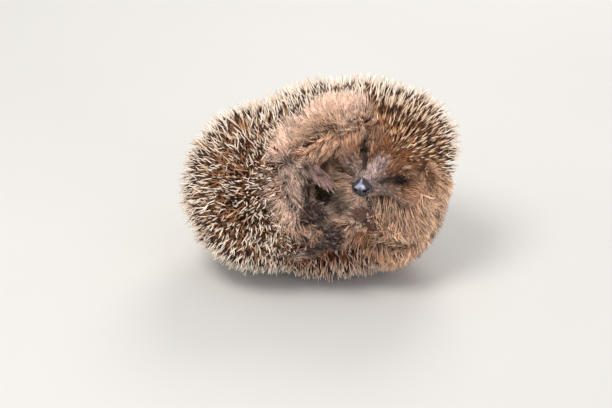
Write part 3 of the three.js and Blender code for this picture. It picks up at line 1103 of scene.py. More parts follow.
class Bed:
    """The skin as the bed that the coat grows from."""

    def __init__(self, surface):
        skin = bpy.data.objects["skin"]
        self.surface = surface
        self.tris = triangles(skin.data)
        self.co, self.normal = places(skin), normals(skin)
        a, b, c = (self.co[self.tris[:, i]] for i in range(3))
        self.area = np.linalg.norm(np.cross(b - a, c - a), axis=1) / 2 / MM**2
        self.owner, self.depth, self.foot = surface.nearest(self.co)
        self.depth = self.depth / MM
        self.inside = opened(self.foot)
        self.tree = BVHTree.FromPolygons(self.co.tolist(), self.tris.tolist())
        self.pattern = self.unwrapped(skin)

    def unwrapped(self, skin):
        """A coarse copy of the skin laid out flat, as a search tree and each triangle's map places."""
        coarse = linked("pattern", skin.data.copy())
        applied(coarse, "REMESH", mode="VOXEL", voxel_size=PATTERN_VOXEL * MM)
        edited(coarse, bpy.ops.uv.smart_project, angle_limit=math.radians(66), island_margin=0.004)
        mesh = coarse.data
        tris = triangles(mesh)
        loops = np.empty(len(mesh.loop_triangles) * 3, int)
        mesh.loop_triangles.foreach_get("loops", loops)
        flat = np.empty(len(mesh.loops) * 2)
        mesh.uv_layers.active.data.foreach_get("uv", flat)
        co = places(coarse)
        laid = flat.reshape(-1, 2)[loops.reshape(-1, 3)]
        tree = BVHTree.FromPolygons(co.tolist(), tris.tolist())
        bpy.data.objects.remove(coarse)
        return tree, co[tris], laid

    def on_pattern(self, points):
        """Where points lie on the flat pattern."""
        tree, corners, laid = self.pattern
        at, _, face, _ = nearest_on(tree, points)
        a, b, c = (corners[face, i] for i in range(3))
        whole = np.cross(b - a, c - a)
        size = np.maximum((whole**2).sum(1), 1e-30)
        share_a = (np.cross(b - at, c - at) * whole).sum(1) / size
        share_b = (np.cross(c - at, a - at) * whole).sum(1) / size
        shares = np.clip(np.stack((share_a, share_b, 1 - share_a - share_b), 1), 0, 1)
        return (laid[face] * shares[:, :, None]).sum(1)

    def sow(self, density, rng):
        """Roots strewn over the skin, with a density for each vertex in roots to the square millimetre."""
        expected = self.area * density[self.tris].mean(1)
        counts = rng.poisson(expected)
        face = np.repeat(np.arange(len(self.tris)), counts)
        r, s = rng.random(len(face)), rng.random(len(face))
        r, s = np.where(r + s > 1, 1 - r, r), np.where(r + s > 1, 1 - s, s)
        shares = np.stack((1 - r - s, r, s), 1)
        corners = self.tris[face]
        place, normal, foot = (
            (values[corners] * shares[:, :, None]).sum(1) for values in (self.co, self.normal, self.foot)
        )
        depth, inside = ((values[corners] * shares).sum(1) for values in (self.depth, self.inside))
        nearest = corners[np.arange(len(face)), shares.argmax(1)]
        return Roots(self, place, unit(normal), depth, foot, inside, self.owner[nearest])

    def buried(self, points):
        """How far points lie under the skin, in millimetres."""
        at, normal, _, _ = nearest_on(self.tree, points)
        return -((points - at) * normal).sum(1) / MM


class Roots:
    """Where hairs or spines leave the skin, with the places that they grow out to on the body's surface."""

    def __init__(self, bed, place, normal, depth, foot, inside, owner):
        self.bed, self.place, self.normal, self.depth = bed, place, normal, depth
        self.foot, self.inside, self.owner = foot, inside, owner

    def __len__(self):
        return len(self.place)

    def some(self, which):
        """Only some of the roots."""
        parts = (self.place, self.normal, self.depth, self.foot, self.inside, self.owner)
        return Roots(self.bed, *(part[which] for part in parts))


def spaced(roots, gap, rng):
    """Roots thinned until none is nearer another than the gap, in millimetres."""
    cell = gap * MM
    kept, grid = [], {}
    keys = np.floor(roots.place / cell).astype(int).tolist()
    around = [(i, j, k) for i in (-1, 0, 1) for j in (-1, 0, 1) for k in (-1, 0, 1)]
    for i in rng.permutation(len(roots)):
        x, y, z = keys[i]
        near = (j for a, b, c in around for j in grid.get((x + a, y + b, z + c), ()))
        if all(((roots.place[i] - roots.place[j]) ** 2).sum() >= cell * cell for j in near):
            kept.append(i)
            grid.setdefault((x, y, z), []).append(i)
    return roots.some(np.array(sorted(kept)))


def tangent(ways, normal):
    """Ways laid flat along the skin."""
    return unit(ways - (ways * normal).sum(1, keepdims=True) * normal)


RUFF_FROM = (30.0, 25.0)  # the brow, across and flankward, from which the neck's hair falls


def lie(roots):
    """Which way the coat lies: out over the rim, from nose to tail over the back, and back from the nose."""
    x, y, out = laid_out(roots.foot)
    reach = unit(np.stack((x - 5, y), 1))
    outward = reach[:, :1] * ACROSS + reach[:, 1:] * FLANKWARD - 0.9 * OUTWARD
    turn = np.clip((y + 12) / 8, -1, 1)[:, None]
    flankwise = (-reach[:, 1:] * ACROSS + reach[:, :1] * FLANKWARD) * turn
    within = (ramp(roots.inside, 6, 15) * (1 - ramp(x, 10, 24)))[:, None]
    way = mix(outward, flankwise, 0.8 * within)
    round_axis = unit(np.stack((out - 26, 2 - x), 1))
    tailward = round_axis[:, :1] * ACROSS + round_axis[:, 1:] * OUTWARD
    over_back = ramp(-out, 0, 26)[:, None]
    way = mix(way, tailward, over_back)
    from_nose = unit(roots.foot - Head.nose)
    away = np.linalg.norm(roots.foot - Head.middle, axis=1) / MM
    headlike = (1 - ramp(away, 26, 52))[:, None]
    way = mix(way, 1.4 * from_nose, headlike * (1 - 0.6 * over_back))
    fall = unit(np.stack((x - RUFF_FROM[0], y - RUFF_FROM[1]), 1))
    fall = fall[:, :1] * ACROSS + fall[:, 1:] * FLANKWARD - 0.4 * OUTWARD
    ruff = ramp(x, 16, 30) * ramp(-y, -10, 2) * np.isin(roots.owner, TRUNK) * ramp(roots.inside, -6, 0)
    return tangent(mix(way, 1.4 * fall, ruff[:, None]), roots.normal)


def limb_lie(roots, way):
    """Along each limb to its foot and along the tail, over those roots that are on one."""
    limbs = [((leg, foot), centre(foot) - centre(leg)) for leg, foot in zip(LEGS, FEET)]
    for names, along in limbs + [(("tail",), ACROSS + OUTWARD * 0.5)]:
        mine = np.isin(roots.owner, names)
        way[mine] = tangent(unit(along)[None], roots.normal[mine])
    return way


WAVES = 6  # how many waves a swirl is made of


def swirl(points, size, rng):
    """A smooth random way at each point, with whorls of about a size in millimetres."""
    way = np.zeros_like(points)
    for _ in range(WAVES):
        wave = rng.normal(size=(3, 3)) / (size * MM)
        way += np.sin(points @ wave + rng.random(3) * 2 * np.pi)
    return way / 2.5


def curved(roots, start, end, length, steps):
    """Centre lines that leave each root one way and end another: an array of roots by steps by 3."""
    s = steps[None, :, None]
    reach = (length * MM)[:, None, None]
    return roots.place[:, None] + reach * (start[:, None] * s + (end - start)[:, None] * s**2 / 2)


def kept_in(lines, roots, steps, proud):
    """Bends lines back where they stand prouder of the CAD model than some millimetres, or meet the floor."""
    for at in (-1, len(steps) // 2):
        spot, way, _, _ = nearest_on(roots.bed.surface.tree, lines[:, at])
        beyond = ((lines[:, at] - spot) * way).sum(1)
        back = np.maximum(beyond - proud * MM, 0)[:, None] * way
        lines = lines - back[:, None] * np.minimum(steps / steps[at], 1)[None, :, None] ** 2
    lines[:, 1:, 2] = np.maximum(lines[:, 1:, 2], LEAST_RISE * MM)
    return lines


def strand_faces(rings, sides):
    """One strand's faces as vertex numbers, and the place of each of their corners on its map patch."""
    faces, spots = [], []
    for i in range(rings - 1):
        for k in range(sides):
            here, after = i * sides + k, i * sides + (k + 1) % sides
            if i < rings - 2:
                faces.append((here, after, after + sides, here + sides))
                spots.append([(k, i), (k + 1, i), (k + 1, i + 1), (k, i + 1)])
            else:
                faces.append((here, after, (rings - 1) * sides))
                spots.append([(k, i), (k + 1, i), (k + 0.5, i + 1)])
    faces.append(tuple(range(sides))[::-1])
    spots.append([(k, 0) for k in range(sides)][::-1])
    return faces, np.concatenate(spots) / (sides, rings - 1) - 0.5


def strand_mesh(name, lines, radii, roots, sides, material, slot, stored, rng):
    """One mesh of closed tapering strands, each with its map patch at its root."""
    count, rings = lines.shape[:2]
    along = unit(np.gradient(lines, axis=1))
    aside = unit(np.cross(along, unit(rng.normal(size=(count, 1, 3)))))
    across = np.cross(along, aside)
    angles = (np.arange(sides) * 2 * np.pi / sides)[None, None, :, None]
    ring = np.cos(angles) * aside[:, :-1, None] + np.sin(angles) * across[:, :-1, None]
    body = lines[:, :-1, None] + ring * radii[:, :-1, None, None] * MM
    verts = np.concatenate((body.reshape(count, -1, 3), lines[:, -1:]), 1)
    each = verts.shape[1]
    faces, spots = strand_faces(rings, sides)
    loops = (np.concatenate(faces)[None] + each * np.arange(count)[:, None]).ravel()
    sizes = np.tile([len(face) for face in faces], count)
    mesh = bpy.data.meshes.new(name)
    mesh.vertices.add(count * each)
    mesh.vertices.foreach_set("co", verts.ravel())
    mesh.loops.add(len(loops))
    mesh.loops.foreach_set("vertex_index", loops)
    mesh.polygons.add(len(sizes))
    mesh.polygons.foreach_set("loop_start", np.concatenate(([0], np.cumsum(sizes)[:-1])))
    mesh.update(calc_edges=True)
    laid = roots.bed.on_pattern(roots.place)[:, None] + spots[None] * PATCH
    mesh.uv_layers.new(name="OFBake").data.foreach_set("uv", np.clip(laid, 0, 1).ravel())
    piece = linked(name, mesh)
    steps = np.cumsum(np.linalg.norm(np.diff(lines, axis=1), axis=2), 1)
    length = np.concatenate((np.zeros((count, 1)), steps), 1)
    share = length / np.maximum(length[:, -1:], 1e-9)
    store(piece, "along", np.concatenate((np.repeat(share[:, :-1], sides, 1), share[:, -1:]), 1).ravel())
    for key, values in stored.items():
        store(piece, key, np.repeat(values, each, axis=0))
    smooth_shaded(piece, material)
    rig.ride(piece, "root")
    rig.slot(piece, slot)


# A spine's rings: where they are along it, and their radii as shares of the whole.
SPINE_STEPS = np.array((0.0, 0.07, 0.34, 0.68, 0.9, 1.0))
SPINE_TAPER = np.array((0.45, 0.8, 1.0, 0.92, 0.5, 0.0))
SPINE_SIDES = 5
SPINES_SOWN = 1.6  # to the square millimetre, before they are spaced out
PALE_SPINES = 0.12  # the share that has no dark band


def make_spines(bed, settings, rng):
    """The mantle's spines, in four pieces."""
    over = 1 - ramp(np.linalg.norm(bed.foot - Head.middle, axis=1) / MM, 26, 40)
    spiny = np.isin(bed.owner, TRUNK + ("face",)) & (bed.inside < mix(2.5, -1.5, over))
    roots = spaced(bed.sow(np.where(spiny, SPINES_SOWN, 0.0), rng), settings.spacing / MM, rng)
    x, y, out = laid_out(roots.foot)
    away = np.linalg.norm(roots.foot - Head.middle, axis=1) / MM
    crown = 1 - ramp(away, 42, 62)
    rump = ramp(-x, 0, 26) * ramp(out, -25, 5) * (1 - ramp(y, 18, 36))
    brow = 1 - ramp(away, 20, 34)
    lean = mix(mix(0.50, 0.15, rump), 0.62, crown) + 0.5 * brow
    scatter = mix(mix(0.36, 0.62, rump), 0.46, crown)[:, None]
    rough = tangent(rng.normal(size=roots.place.shape), roots.normal)
    rough = rough * np.abs(rng.normal(size=(len(roots), 1)))
    whorl = swirl(roots.place, 9.0, rng) * 0.16
    way = unit(roots.normal + lean[:, None] * lie(roots) + scatter * rough + whorl)
    upright = np.maximum((way * roots.normal).sum(1), 0.35)
    least = mix(10.0, 6.5, brow)
    length = roots.depth / upright * rng.uniform(0.92, 1.22, len(roots)) + 1.0
    length = np.clip(length, least, settings.length / MM)
    bent = unit(way + 0.12 * lie(roots) + 0.05 * rng.normal(size=way.shape))
    proud = mix(5.0, 2.2, crown) * rng.uniform(0.2, 1.0, len(roots))
    lines = kept_in(curved(roots, way, bent, length, SPINE_STEPS), roots, SPINE_STEPS, proud)
    slim = settings.thickness / 2 / MM * rng.uniform(0.85, 1.15, (len(roots), 1))
    slim = slim * mix(1.0, 0.86, brow)[:, None]
    radii = slim * SPINE_TAPER
    traits = {
        "tint": rng.random(len(roots)),
        # where the lower mantle's spines are painted darker and oranger: partly their own brown, partly painted shade
        "dusk": ramp(-y, 22, 36) * ramp(out, -25, 5) * ramp(x, -24, -12) * (1 - ramp(x, 30, 45)),
        "pale": (rng.random(len(roots)) < PALE_SPINES) * 1.0,
        "frosted": ramp(y, 10, 42),
        "gold": 1 - ramp(away, 24, 42),
    }
    material = spine_look()
    fields = {
        "spines_crown": np.isin(roots.owner, ("crown", "face")),
        "spines_neck": np.isin(roots.owner, ("neck", "shoulders")),
        "spines_back": np.isin(roots.owner, ("back", "loin")),
    }
    fields["spines_rump"] = ~np.logical_or.reduce(list(fields.values()))
    for name, mine in fields.items():
        stored = {key: values[mine] for key, values in traits.items()}
        strand_mesh(
            name, lines[mine], radii[mine], roots.some(mine), SPINE_SIDES, material, "spines", stored, rng
        )


def zones(at):
    """The share of each kind of fur at each root, or at each of the bed's points."""
    x, y, out = laid_out(at.foot)
    _, forward, _ = Head.laid_out(at.foot)
    head = headed(at.foot)
    furry = ramp(at.inside + 6 * head, 0, 5)
    trunk = np.isin(at.owner, TRUNK)
    ruff = ramp(x, 18, 30) * ramp(-y, -12, 0)
    face = np.isin(at.owner, ("face",) + EYES)
    muzzle = ramp(forward, 2.0, 9.0)
    cheek = cheeks(at.foot)
    skirt = ramp(at.inside, -22, -4) * ramp(out, -20, 0) * ramp(-y, 16, 28)
    skirt = skirt * ramp(x, -24, -12) * (1 - ramp(x, 30, 42))
    tips = [tip for foot in FEET for tip, _ in claw_tips(foot)]
    from_tips = np.min([np.linalg.norm(at.foot - tip, axis=1) for tip in tips], 0) / MM
    wrist = ramp(from_tips, 14, 19)
    fore = np.isin(at.owner, FOREPAWS)
    return {
        "flank": trunk * (1 - ruff) * furry * (1 - head),
        "ruff": trunk * ruff * furry * (1 - head),
        "brow": trunk * furry * head,
        "face": face * (1 - muzzle) * (1 - cheek),
        "cheek": face * (1 - muzzle) * cheek,
        "muzzle": face * muzzle + np.isin(at.owner, ("muzzle", "nose")),
        "belly": (at.owner == "belly") * 1.0,
        "leg": np.isin(at.owner, LEGS) * 1.0,
        "foot": fore * (1 - wrist),
        "wrist": fore * wrist,
        "hindfoot": np.isin(at.owner, HINDFEET) * 1.0,
        "ear": np.isin(at.owner, EARS) * 1.0,
        "tail": (at.owner == "tail") * 1.0,
        "under": trunk * (1 - furry) * skirt,
    }


# Each kind of fur: roots to the square millimetre, length and thickness in millimetres, how upright it
# leaves the skin, how upright it ends, how unruly it is and how much it gathers in locks.
FUR_KINDS = {
    "flank": (3.9, 13.0, 0.33, 1.0, 0.50, 0.55, 0.55),
    "ruff": (2.9, 15.0, 0.40, 1.0, 0.66, 0.32, 0.68),
    "brow": (4.8, 7.5, 0.30, 0.9, 0.25, 0.32, 0.50),
    "face": (6.5, 5.2, 0.24, 0.8, 0.20, 0.30, 0.55),
    "cheek": (5.0, 8.5, 0.28, 0.8, 0.25, 0.28, 0.50),
    "muzzle": (8.5, 2.9, 0.17, 0.7, 0.15, 0.25, 0.40),
    "belly": (3.6, 8.5, 0.24, 0.8, 0.30, 0.45, 0.55),
    "leg": (4.2, 8.5, 0.28, 0.7, 0.25, 0.32, 0.60),
    "foot": (4.5, 1.5, 0.10, 0.2, 0.05, 0.20, 0.20),
    "wrist": (3.5, 4.5, 0.20, 0.6, 0.15, 0.30, 0.40),
    "hindfoot": (3.0, 3.4, 0.18, 0.6, 0.15, 0.30, 0.30),
    "ear": (6.0, 2.4, 0.15, 0.5, 0.15, 0.30, 0.30),
    "tail": (3.5, 3.2, 0.16, 0.5, 0.10, 0.25, 0.40),
    "under": (1.3, 11.0, 0.26, 1.0, 0.60, 0.50, 0.40),
}


FUR_STEPS = np.array((0.0, 0.36, 0.72, 1.0))  # where a hair's rings are along it
FUR_TAPER = np.array((0.9, 1.0, 0.7, 0.0))  # and their radii, as shares of the whole
FUR_SIDES = 3
HAIRS_TO_A_LOCK = 9
MOST_HAIRS = 12000  # in one piece
NOSE_BARE = 4.2  # millimetres round the nose's middle, and round the right ear's, without other hair
EAR_BARE = 5.5
SLIT_BARE = (2.5, 0.8, 3.0)  # half the length and height of the bare patch over an eye's slit, and its depth
SHADED_HAIR = 0.24  # how bright a hair painted dark as shade is beside its place's colour
FUR_PIECES = {
    "fur_flank": ("flank", "under"),
    "fur_ruff": ("ruff",),
    "fur_face": ("face", "cheek", "brow"),
    "fur_muzzle": ("muzzle", "ear"),
    "fur_limbs": ("leg", "foot", "wrist", "hindfoot", "belly", "tail"),
}


def blended_kinds(shares):
    """The numbers of FUR_KINDS for each root, each kind by its share there."""
    weight = sum(shares.values())[:, None] + 1e-9
    return (sum(shares[kind][:, None] * np.array(FUR_KINDS[kind]) for kind in FUR_KINDS) / weight).T


def furry_roots(bed, settings, rng):
    """The roots of all the hair, clear of the nose pad, the eyes' slits and the right ear's hollow."""
    shares = zones(bed)
    density = sum(shares[kind] * FUR_KINDS[kind][0] for kind in FUR_KINDS) * settings.density
    roots = bed.sow(density, rng)
    clear = np.linalg.norm(roots.place - Head.nose, axis=1) > NOSE_BARE * MM
    by_ear = np.linalg.norm(roots.foot - centre("ear_right"), axis=1) < EAR_BARE * MM
    clear &= ~(by_ear & (roots.owner != "ear_right"))
    for eye in Head.eyes:
        out, along, up = eye_frame(eye)
        way = (roots.place - eye) / MM
        beside = (np.abs(way @ along) > SLIT_BARE[0]) | (np.abs(way @ up) > SLIT_BARE[1])
        clear &= beside | (way @ out < -SLIT_BARE[2])
    return roots.some(clear)


def shortened(length, roots):
    """Lengths of hair, less round the eyes, the right ear and the left forepaw, so that they show."""
    for eye in Head.eyes:
        off = np.linalg.norm(roots.place - eye, axis=1) / MM
        length = length * mix(0.4, 1.0, ramp(off, 3.0, 8.0))
    off = np.linalg.norm(roots.foot - centre("ear_right"), axis=1) / MM
    length = length * np.where(roots.owner == "ear_right", 1.0, mix(0.25, 1.0, ramp(off, 6.5, 10.5)))
    off = np.linalg.norm(roots.foot - centre("forepaw_left"), axis=1) / MM
    return length * np.where(np.isin(roots.owner, FEET), 1.0, mix(0.3, 1.0, ramp(off, 8.0, 15.0)))


def lock_leaders(roots, rng):
    """For each hair, the number of the one whose lock it is in."""
    leaders = np.sort(rng.choice(len(roots), len(roots) // HAIRS_TO_A_LOCK, replace=False))
    finder = KDTree(len(leaders))
    for i, leader in enumerate(leaders):
        finder.insert(roots.place[leader], i)
    finder.balance()
    return leaders[[finder.find(p)[1] for p in roots.place.tolist()]]


def make_fur(bed, settings, rng):
    """All the hair, in pieces by where it grows."""
    roots = furry_roots(bed, settings, rng)
    shares = zones(roots)
    _, length, thick, lift, rest, unruly, locks = blended_kinds(shares)
    lift, rest, unruly = lift[:, None], rest[:, None], unruly[:, None]
    way = limb_lie(roots, lie(roots))
    rough = tangent(rng.normal(size=way.shape), roots.normal) * rng.normal(size=(len(roots), 1))
    way = tangent(way + unruly * (rough + swirl(roots.place, 5.0, rng)), roots.normal)
    start = unit(roots.normal * lift + way)
    end = unit(roots.normal * rest + way + 0.5 * unruly * rng.normal(size=way.shape))
    length = shortened(length * rng.uniform(0.65, 1.15, len(roots)), roots)
    lines = curved(roots, start, end, length, FUR_STEPS)
    leader = lock_leaders(roots, rng)
    pull = FUR_STEPS[None, :, None] ** 2 * locks[:, None, None]
    lines = mix(lines, lines[leader], pull)
    proud = rng.uniform(0.4, 2.5, len(roots)) * (1 + shares["ruff"])
    lines = kept_in(lines, roots, FUR_STEPS, proud)
    free = bed.buried(lines[:, -1]) < 0.1
    lines, roots, thick, lock = lines[free], roots.some(free), thick[free], leader[free]
    shares = {kind: share[free] for kind, share in shares.items()}
    flank, ruff = shares["flank"], shares["ruff"]
    radii = (thick / 2)[:, None] * rng.uniform(0.8, 1.15, (len(roots), 1)) * FUR_TAPER
    # Painted shade: a share of the hairs, most in the ruff and on the flanks, are made dark for the shade between
    # locks; the others are brightened to make up for it.
    darker = 0.10 + 0.34 * ruff + 0.20 * flank + 0.15 * shares["leg"] + 0.10 * shares["cheek"]
    brighter = 1.12 + 0.62 * ruff + 0.58 * flank + 0.45 * shares["cheek"]
    dark = rng.random(len(roots)) < darker
    dye = body_dye(roots.foot, roots.owner) * np.where(dark, SHADED_HAIR, brighter)[:, None]
    tint = 0.6 * rng.random(len(free))[lock] + 0.4 * rng.random(len(roots))
    often = 0.22 + 0.45 * flank + 0.1 * ruff + 0.25 * shares["muzzle"]
    hind = np.isin(roots.owner, HINDLEGS + HINDFEET)
    chance = 0.55 * rng.random(len(free))[lock] + 0.45 * rng.random(len(roots))
    frost = ramp(np.where(hind, 0.48, often + 0.12) - chance, 0.0, 0.15) * rng.uniform(0.4, 1.0, len(roots))
    frost = frost * (1 - 0.8 * eye_streak(roots.foot)) * (1 - ear_shadow_hair(roots.foot))
    # Fewer pale tips on the belly, whose hair is painted dark as shade.
    frost = frost * (1 - 0.7 * shares["belly"])
    strongest = np.array(list(shares))[np.argmax(np.stack(list(shares.values())), 0)]
    material = fur_look()
    for name, members in FUR_PIECES.items():
        mine = np.nonzero(np.isin(strongest, members))[0]
        parts = np.array_split(mine, max(1, math.ceil(len(mine) / MOST_HAIRS)))
        for number, part in enumerate(parts, 1):
            stored = {"tint": tint[part], "frost": frost[part], "dye": dye[part]}
            strand_mesh(
                f"{name}_{number}", lines[part], radii[part], roots.some(part), FUR_SIDES, material, "fur",
                stored, rng,
            )


# ---- nose, eyes, claws and whiskers ----
NOSE_HALF = np.array((5.6, 4.3, 5.5))  # half the pad's width, length and height, in millimetres
NOSE_BACK = 0.7  # how far back and down the pad lies from its CAD node's middle
NOSE_DOWN = 0.4


def make_nose():
    """The nose pad with its nostrils, wings and middle groove, turned a little on the muzzle."""
    bpy.ops.object.select_all(action="DESELECT")
    bpy.ops.mesh.primitive_ico_sphere_add(subdivisions=6, radius=1.0, location=(0, 0, 0))
    pad = bpy.context.object
    pad.name = pad.data.name = "nose_pad"
    co = places(pad)
    right, up, forward = co[:, 0].copy(), co[:, 2].copy(), -co[:, 1]
    side = np.abs(right)
    front = ramp(forward, 0.0, 0.45)
    groove = hump(right, 0.06) * front * ramp(-up, -0.35, 0.0)
    # A nostril is a comma: a round hole beside the groove, with a slit curling out and back from its top.
    hole = np.hypot((side - 0.44) / 0.19, (up + 0.14) / 0.20)
    slit = np.hypot((side - 0.72) / 0.24, (up + 0.02 - 0.35 * (side - 0.5)) / 0.085)
    nostril = np.maximum(1 - ramp(hole, 0.5, 1.0), 1 - ramp(slit, 0.5, 1.0)) * ramp(forward, -0.3, 0.1)
    wing = hump(hole - 1.5, 0.35) * ramp(side, 0.3, 0.6) * ramp(forward, -0.2, 0.3)
    lip = ramp(-up, 0.4, 0.8) * front
    top = ramp(up, 0.1, 0.5) * ramp(forward, 0.1, 0.5)
    rear = 1 - 0.25 * ramp(-forward, 0.2, 1.0)
    narrow = (1 - 0.28 * ramp(-up, 0.2, 1.0)) * (1 - 0.42 * ramp(up, 0.05, 1.0)) * rear
    rx = right * narrow * (1 + 0.10 * wing - 0.10 * nostril)
    ry = forward * (1 - 0.15 * ramp(forward, 0.5, 1.0)) - 0.36 * nostril - 0.12 * groove
    ry = ry + 0.12 * wing - 0.16 * lip - 0.24 * top
    ahead = unit(0.62 * Head.forward + 0.48 * OUTWARD)
    aside = unit(-ACROSS + (ACROSS @ ahead) * ahead)
    above = np.cross(aside, ahead)
    spot = rx[:, None] * NOSE_HALF[0] * aside + ry[:, None] * NOSE_HALF[1] * ahead
    spot = spot + (up * rear)[:, None] * NOSE_HALF[2] * above
    put(pad, Head.nose + (spot - NOSE_BACK * Head.forward - NOSE_DOWN * above) * MM)
    applied(pad, "SMOOTH", factor=0.5, iterations=2)
    # Painted shade: the nostrils, the groove and the pad's underside are stored to be made dark.
    store(pad, "fold", np.clip(nostril * 1.5 + groove * 0.8 + 0.8 * ramp(-up, 0.15, 0.6), 0, 1))
    # Painted reflection: a pale blue-grey patch on the pad's top, between the nostrils.
    crest = (1 - ramp(side - 0.42 * (1 - ramp(up, 0.1, 0.9)), -0.05, 0.20)) * ramp(up, -0.15, 0.2)
    store(pad, "crest", crest * front)
    edited(pad, bpy.ops.mesh.normals_make_consistent, inside=False)
    smooth_shaded(pad, nose_look())
    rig.ride(pad, "root")
    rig.replaces(pad, "nose")
    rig.slot(pad, "nose")


def make_eyes():
    """Two eyeballs behind the lids."""
    material = eye_look()
    for node, eye in zip(EYES, Head.eyes):
        bpy.ops.object.select_all(action="DESELECT")
        bpy.ops.mesh.primitive_uv_sphere_add(
            segments=48, ring_count=24, radius=EYE_RADIUS * MM, location=(0, 0, 0)
        )
        ball = bpy.context.object
        ball.name = ball.data.name = node.replace("eye", "eyeball")
        put(ball, places(ball) + eyeball_middle(eye))
        smooth_shaded(ball, material)
        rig.ride(ball, "root")
        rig.replaces(ball, node)
        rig.slot(ball, "eye")


CLAW_CUTS = (0.15, 0.3, 0.45, 0.6, 0.75, 0.88, 0.96)  # shares of a claw's length at which it has rings
CLAW_HALF = (0.75, 0.95)  # half a claw's width and height where it leaves the toe, in millimetres
CLAW_BEND = 1.5  # how far its tip curls under, in millimetres
CLAW_DOWN = np.array([-OUTWARD * 0.6 - np.array((0.0, 0.0, 0.4))])  # where the claws curl to


def make_claw(tip, way, dim):
    """One curved claw that ends at a tip."""
    bpy.ops.object.select_all(action="DESELECT")
    bpy.ops.mesh.primitive_cone_add(vertices=14, radius1=1, radius2=0, depth=1, location=(0, 0, 0.5))
    claw = bpy.context.object
    for height in CLAW_CUTS:
        edited(claw, bpy.ops.mesh.bisect, plane_co=(0, 0, height), plane_no=(0, 0, 1))
    bpy.ops.object.transform_apply(location=True, rotation=True, scale=True)
    co = places(claw)
    share = co[:, 2].clip(0, 1)
    ring = co[:, :2] / np.maximum(1 - share, 0.02)[:, None]
    girth = (1 - share**1.7) ** 0.8
    under = tangent(CLAW_DOWN, way[None])[0]
    aside = np.cross(way, under)
    drop = ring[:, 1] * girth * CLAW_HALF[1] + CLAW_BEND * (share**2 - 0.1)
    spot = (
        tip - way * CLAW_LENGTH * MM
        + (share * CLAW_LENGTH * MM)[:, None] * way
        + (ring[:, 0] * girth * CLAW_HALF[0] * MM)[:, None] * aside
        + (drop * MM)[:, None] * under
    )
    put(claw, spot)
    store(claw, "along", share)
    store(claw, "dim", np.full(len(share), dim))
    return claw


def make_claws():
    """A curved claw on each toe, one piece to a foot, duller on the hind feet."""
    material = claw_look()
    for node in FEET:
        dim = 0.8 if node in FOREPAWS else 0.4
        claws = joined([make_claw(tip, way, dim) for tip, way in claw_tips(node)], "claws_" + node)
        edited(claws, bpy.ops.mesh.normals_make_consistent, inside=False)
        smooth_shaded(claws, material)
        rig.ride(claws, "root")
        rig.slot(claws, "skin")


WHISKER_STEPS = np.linspace(0, 1, 7)
WHISKER_TAPER = np.array((1, 0.95, 0.85, 0.7, 0.5, 0.3, 0.0))
WHISKER_RADIUS = 0.07  # millimetres
WHISKER_SIDES = 4
WHISKER_ROWS = 4  # on each side
WHISKERS_TO_A_ROW = 4


def whisker_roots(bed):
    """The whiskers' roots, in rows on each side, and the way that each whisker leaves."""
    spots, normal, ways = [], [], []
    for side in (-1, 1):
        for row in range(WHISKER_ROWS):
            for step in range(WHISKERS_TO_A_ROW):
                start = (
                    Head.nose + (side * (4.0 + 0.9 * step) * Head.right - (4.5 + 2.4 * step) * Head.forward
                                 + (1.0 - 1.7 * row) * Head.up) * MM
                )
                found = bed.tree.find_nearest(start.tolist())
                spots.append(found[0])
                normal.append(found[1])
                ways.append(unit(side * Head.right - 0.75 * Head.forward + (0.25 - 0.2 * row) * Head.up))
    count = len(spots)
    spots, nothing, owner = np.array(spots), np.zeros(count), np.full(count, "muzzle")
    return Roots(bed, spots, np.array(normal), nothing, spots, nothing, owner), np.array(ways)


def make_whiskers(bed, rng):
    """Fine whiskers in rows on both sides of the muzzle."""
    roots, ways = whisker_roots(bed)
    count = len(roots)
    ways = unit(ways + 0.12 * rng.normal(size=(count, 3)))
    start = unit(roots.normal * 0.8 + ways)
    lines = curved(roots, start, ways, rng.uniform(9, 16, count), WHISKER_STEPS)
    radii = WHISKER_RADIUS * rng.uniform(0.8, 1.1, (count, 1)) * WHISKER_TAPER
    stored = {"tint": rng.random(count)}
    strand_mesh("whiskers", lines, radii, roots, WHISKER_SIDES, whisker_look(), "fur", stored, rng)


# ---- stage, in metres ----
LENS = 100.0  # millimetres
SENSOR = 36.0
CAMERA_AWAY = 0.952
CAMERA_AIM = (-0.0080, -0.0161, 0.0063)  # across, flankward and outward from the body's middle
LAMPS_AIM = Vector((0, 0, 0.05))
# Each lamp's name, place, width, power in watts and colour.
LAMPS = (
    ("key", (-0.35, -0.35, 0.95), 0.45, 5.3, (1.0, 0.96, 0.90)),
    ("back", (0.25, 0.75, 0.80), 0.60, 4.1, (1.0, 0.95, 0.88)),
    ("fill", (0.9, -0.9, 0.35), 0.80, 3.0, (0.95, 0.97, 1.0)),
)
SKY_COLOUR = (0.93, 0.96, 1.0, 1)
SKY_STRENGTH = 0.55
FLOOR_SIZE = 6


def make_light():
    """Three soft lamps and an even, faint sky."""
    world = bpy.data.worlds.new("studio")
    bpy.context.scene.world = world
    world.use_nodes = True
    sky = world.node_tree.nodes["Background"]
    sky.inputs["Color"].default_value = SKY_COLOUR
    sky.inputs["Strength"].default_value = SKY_STRENGTH
    for name, place, width, power, colour in LAMPS:
        data = bpy.data.lights.new(name, "AREA")
        data.shape = "DISK"
        data.size = width
        data.energy = power
        data.color = colour
        lamp = linked(name, data)
        lamp.location = place
        lamp.rotation_euler = (LAMPS_AIM - Vector(place)).to_track_quat("-Z", "Y").to_euler()


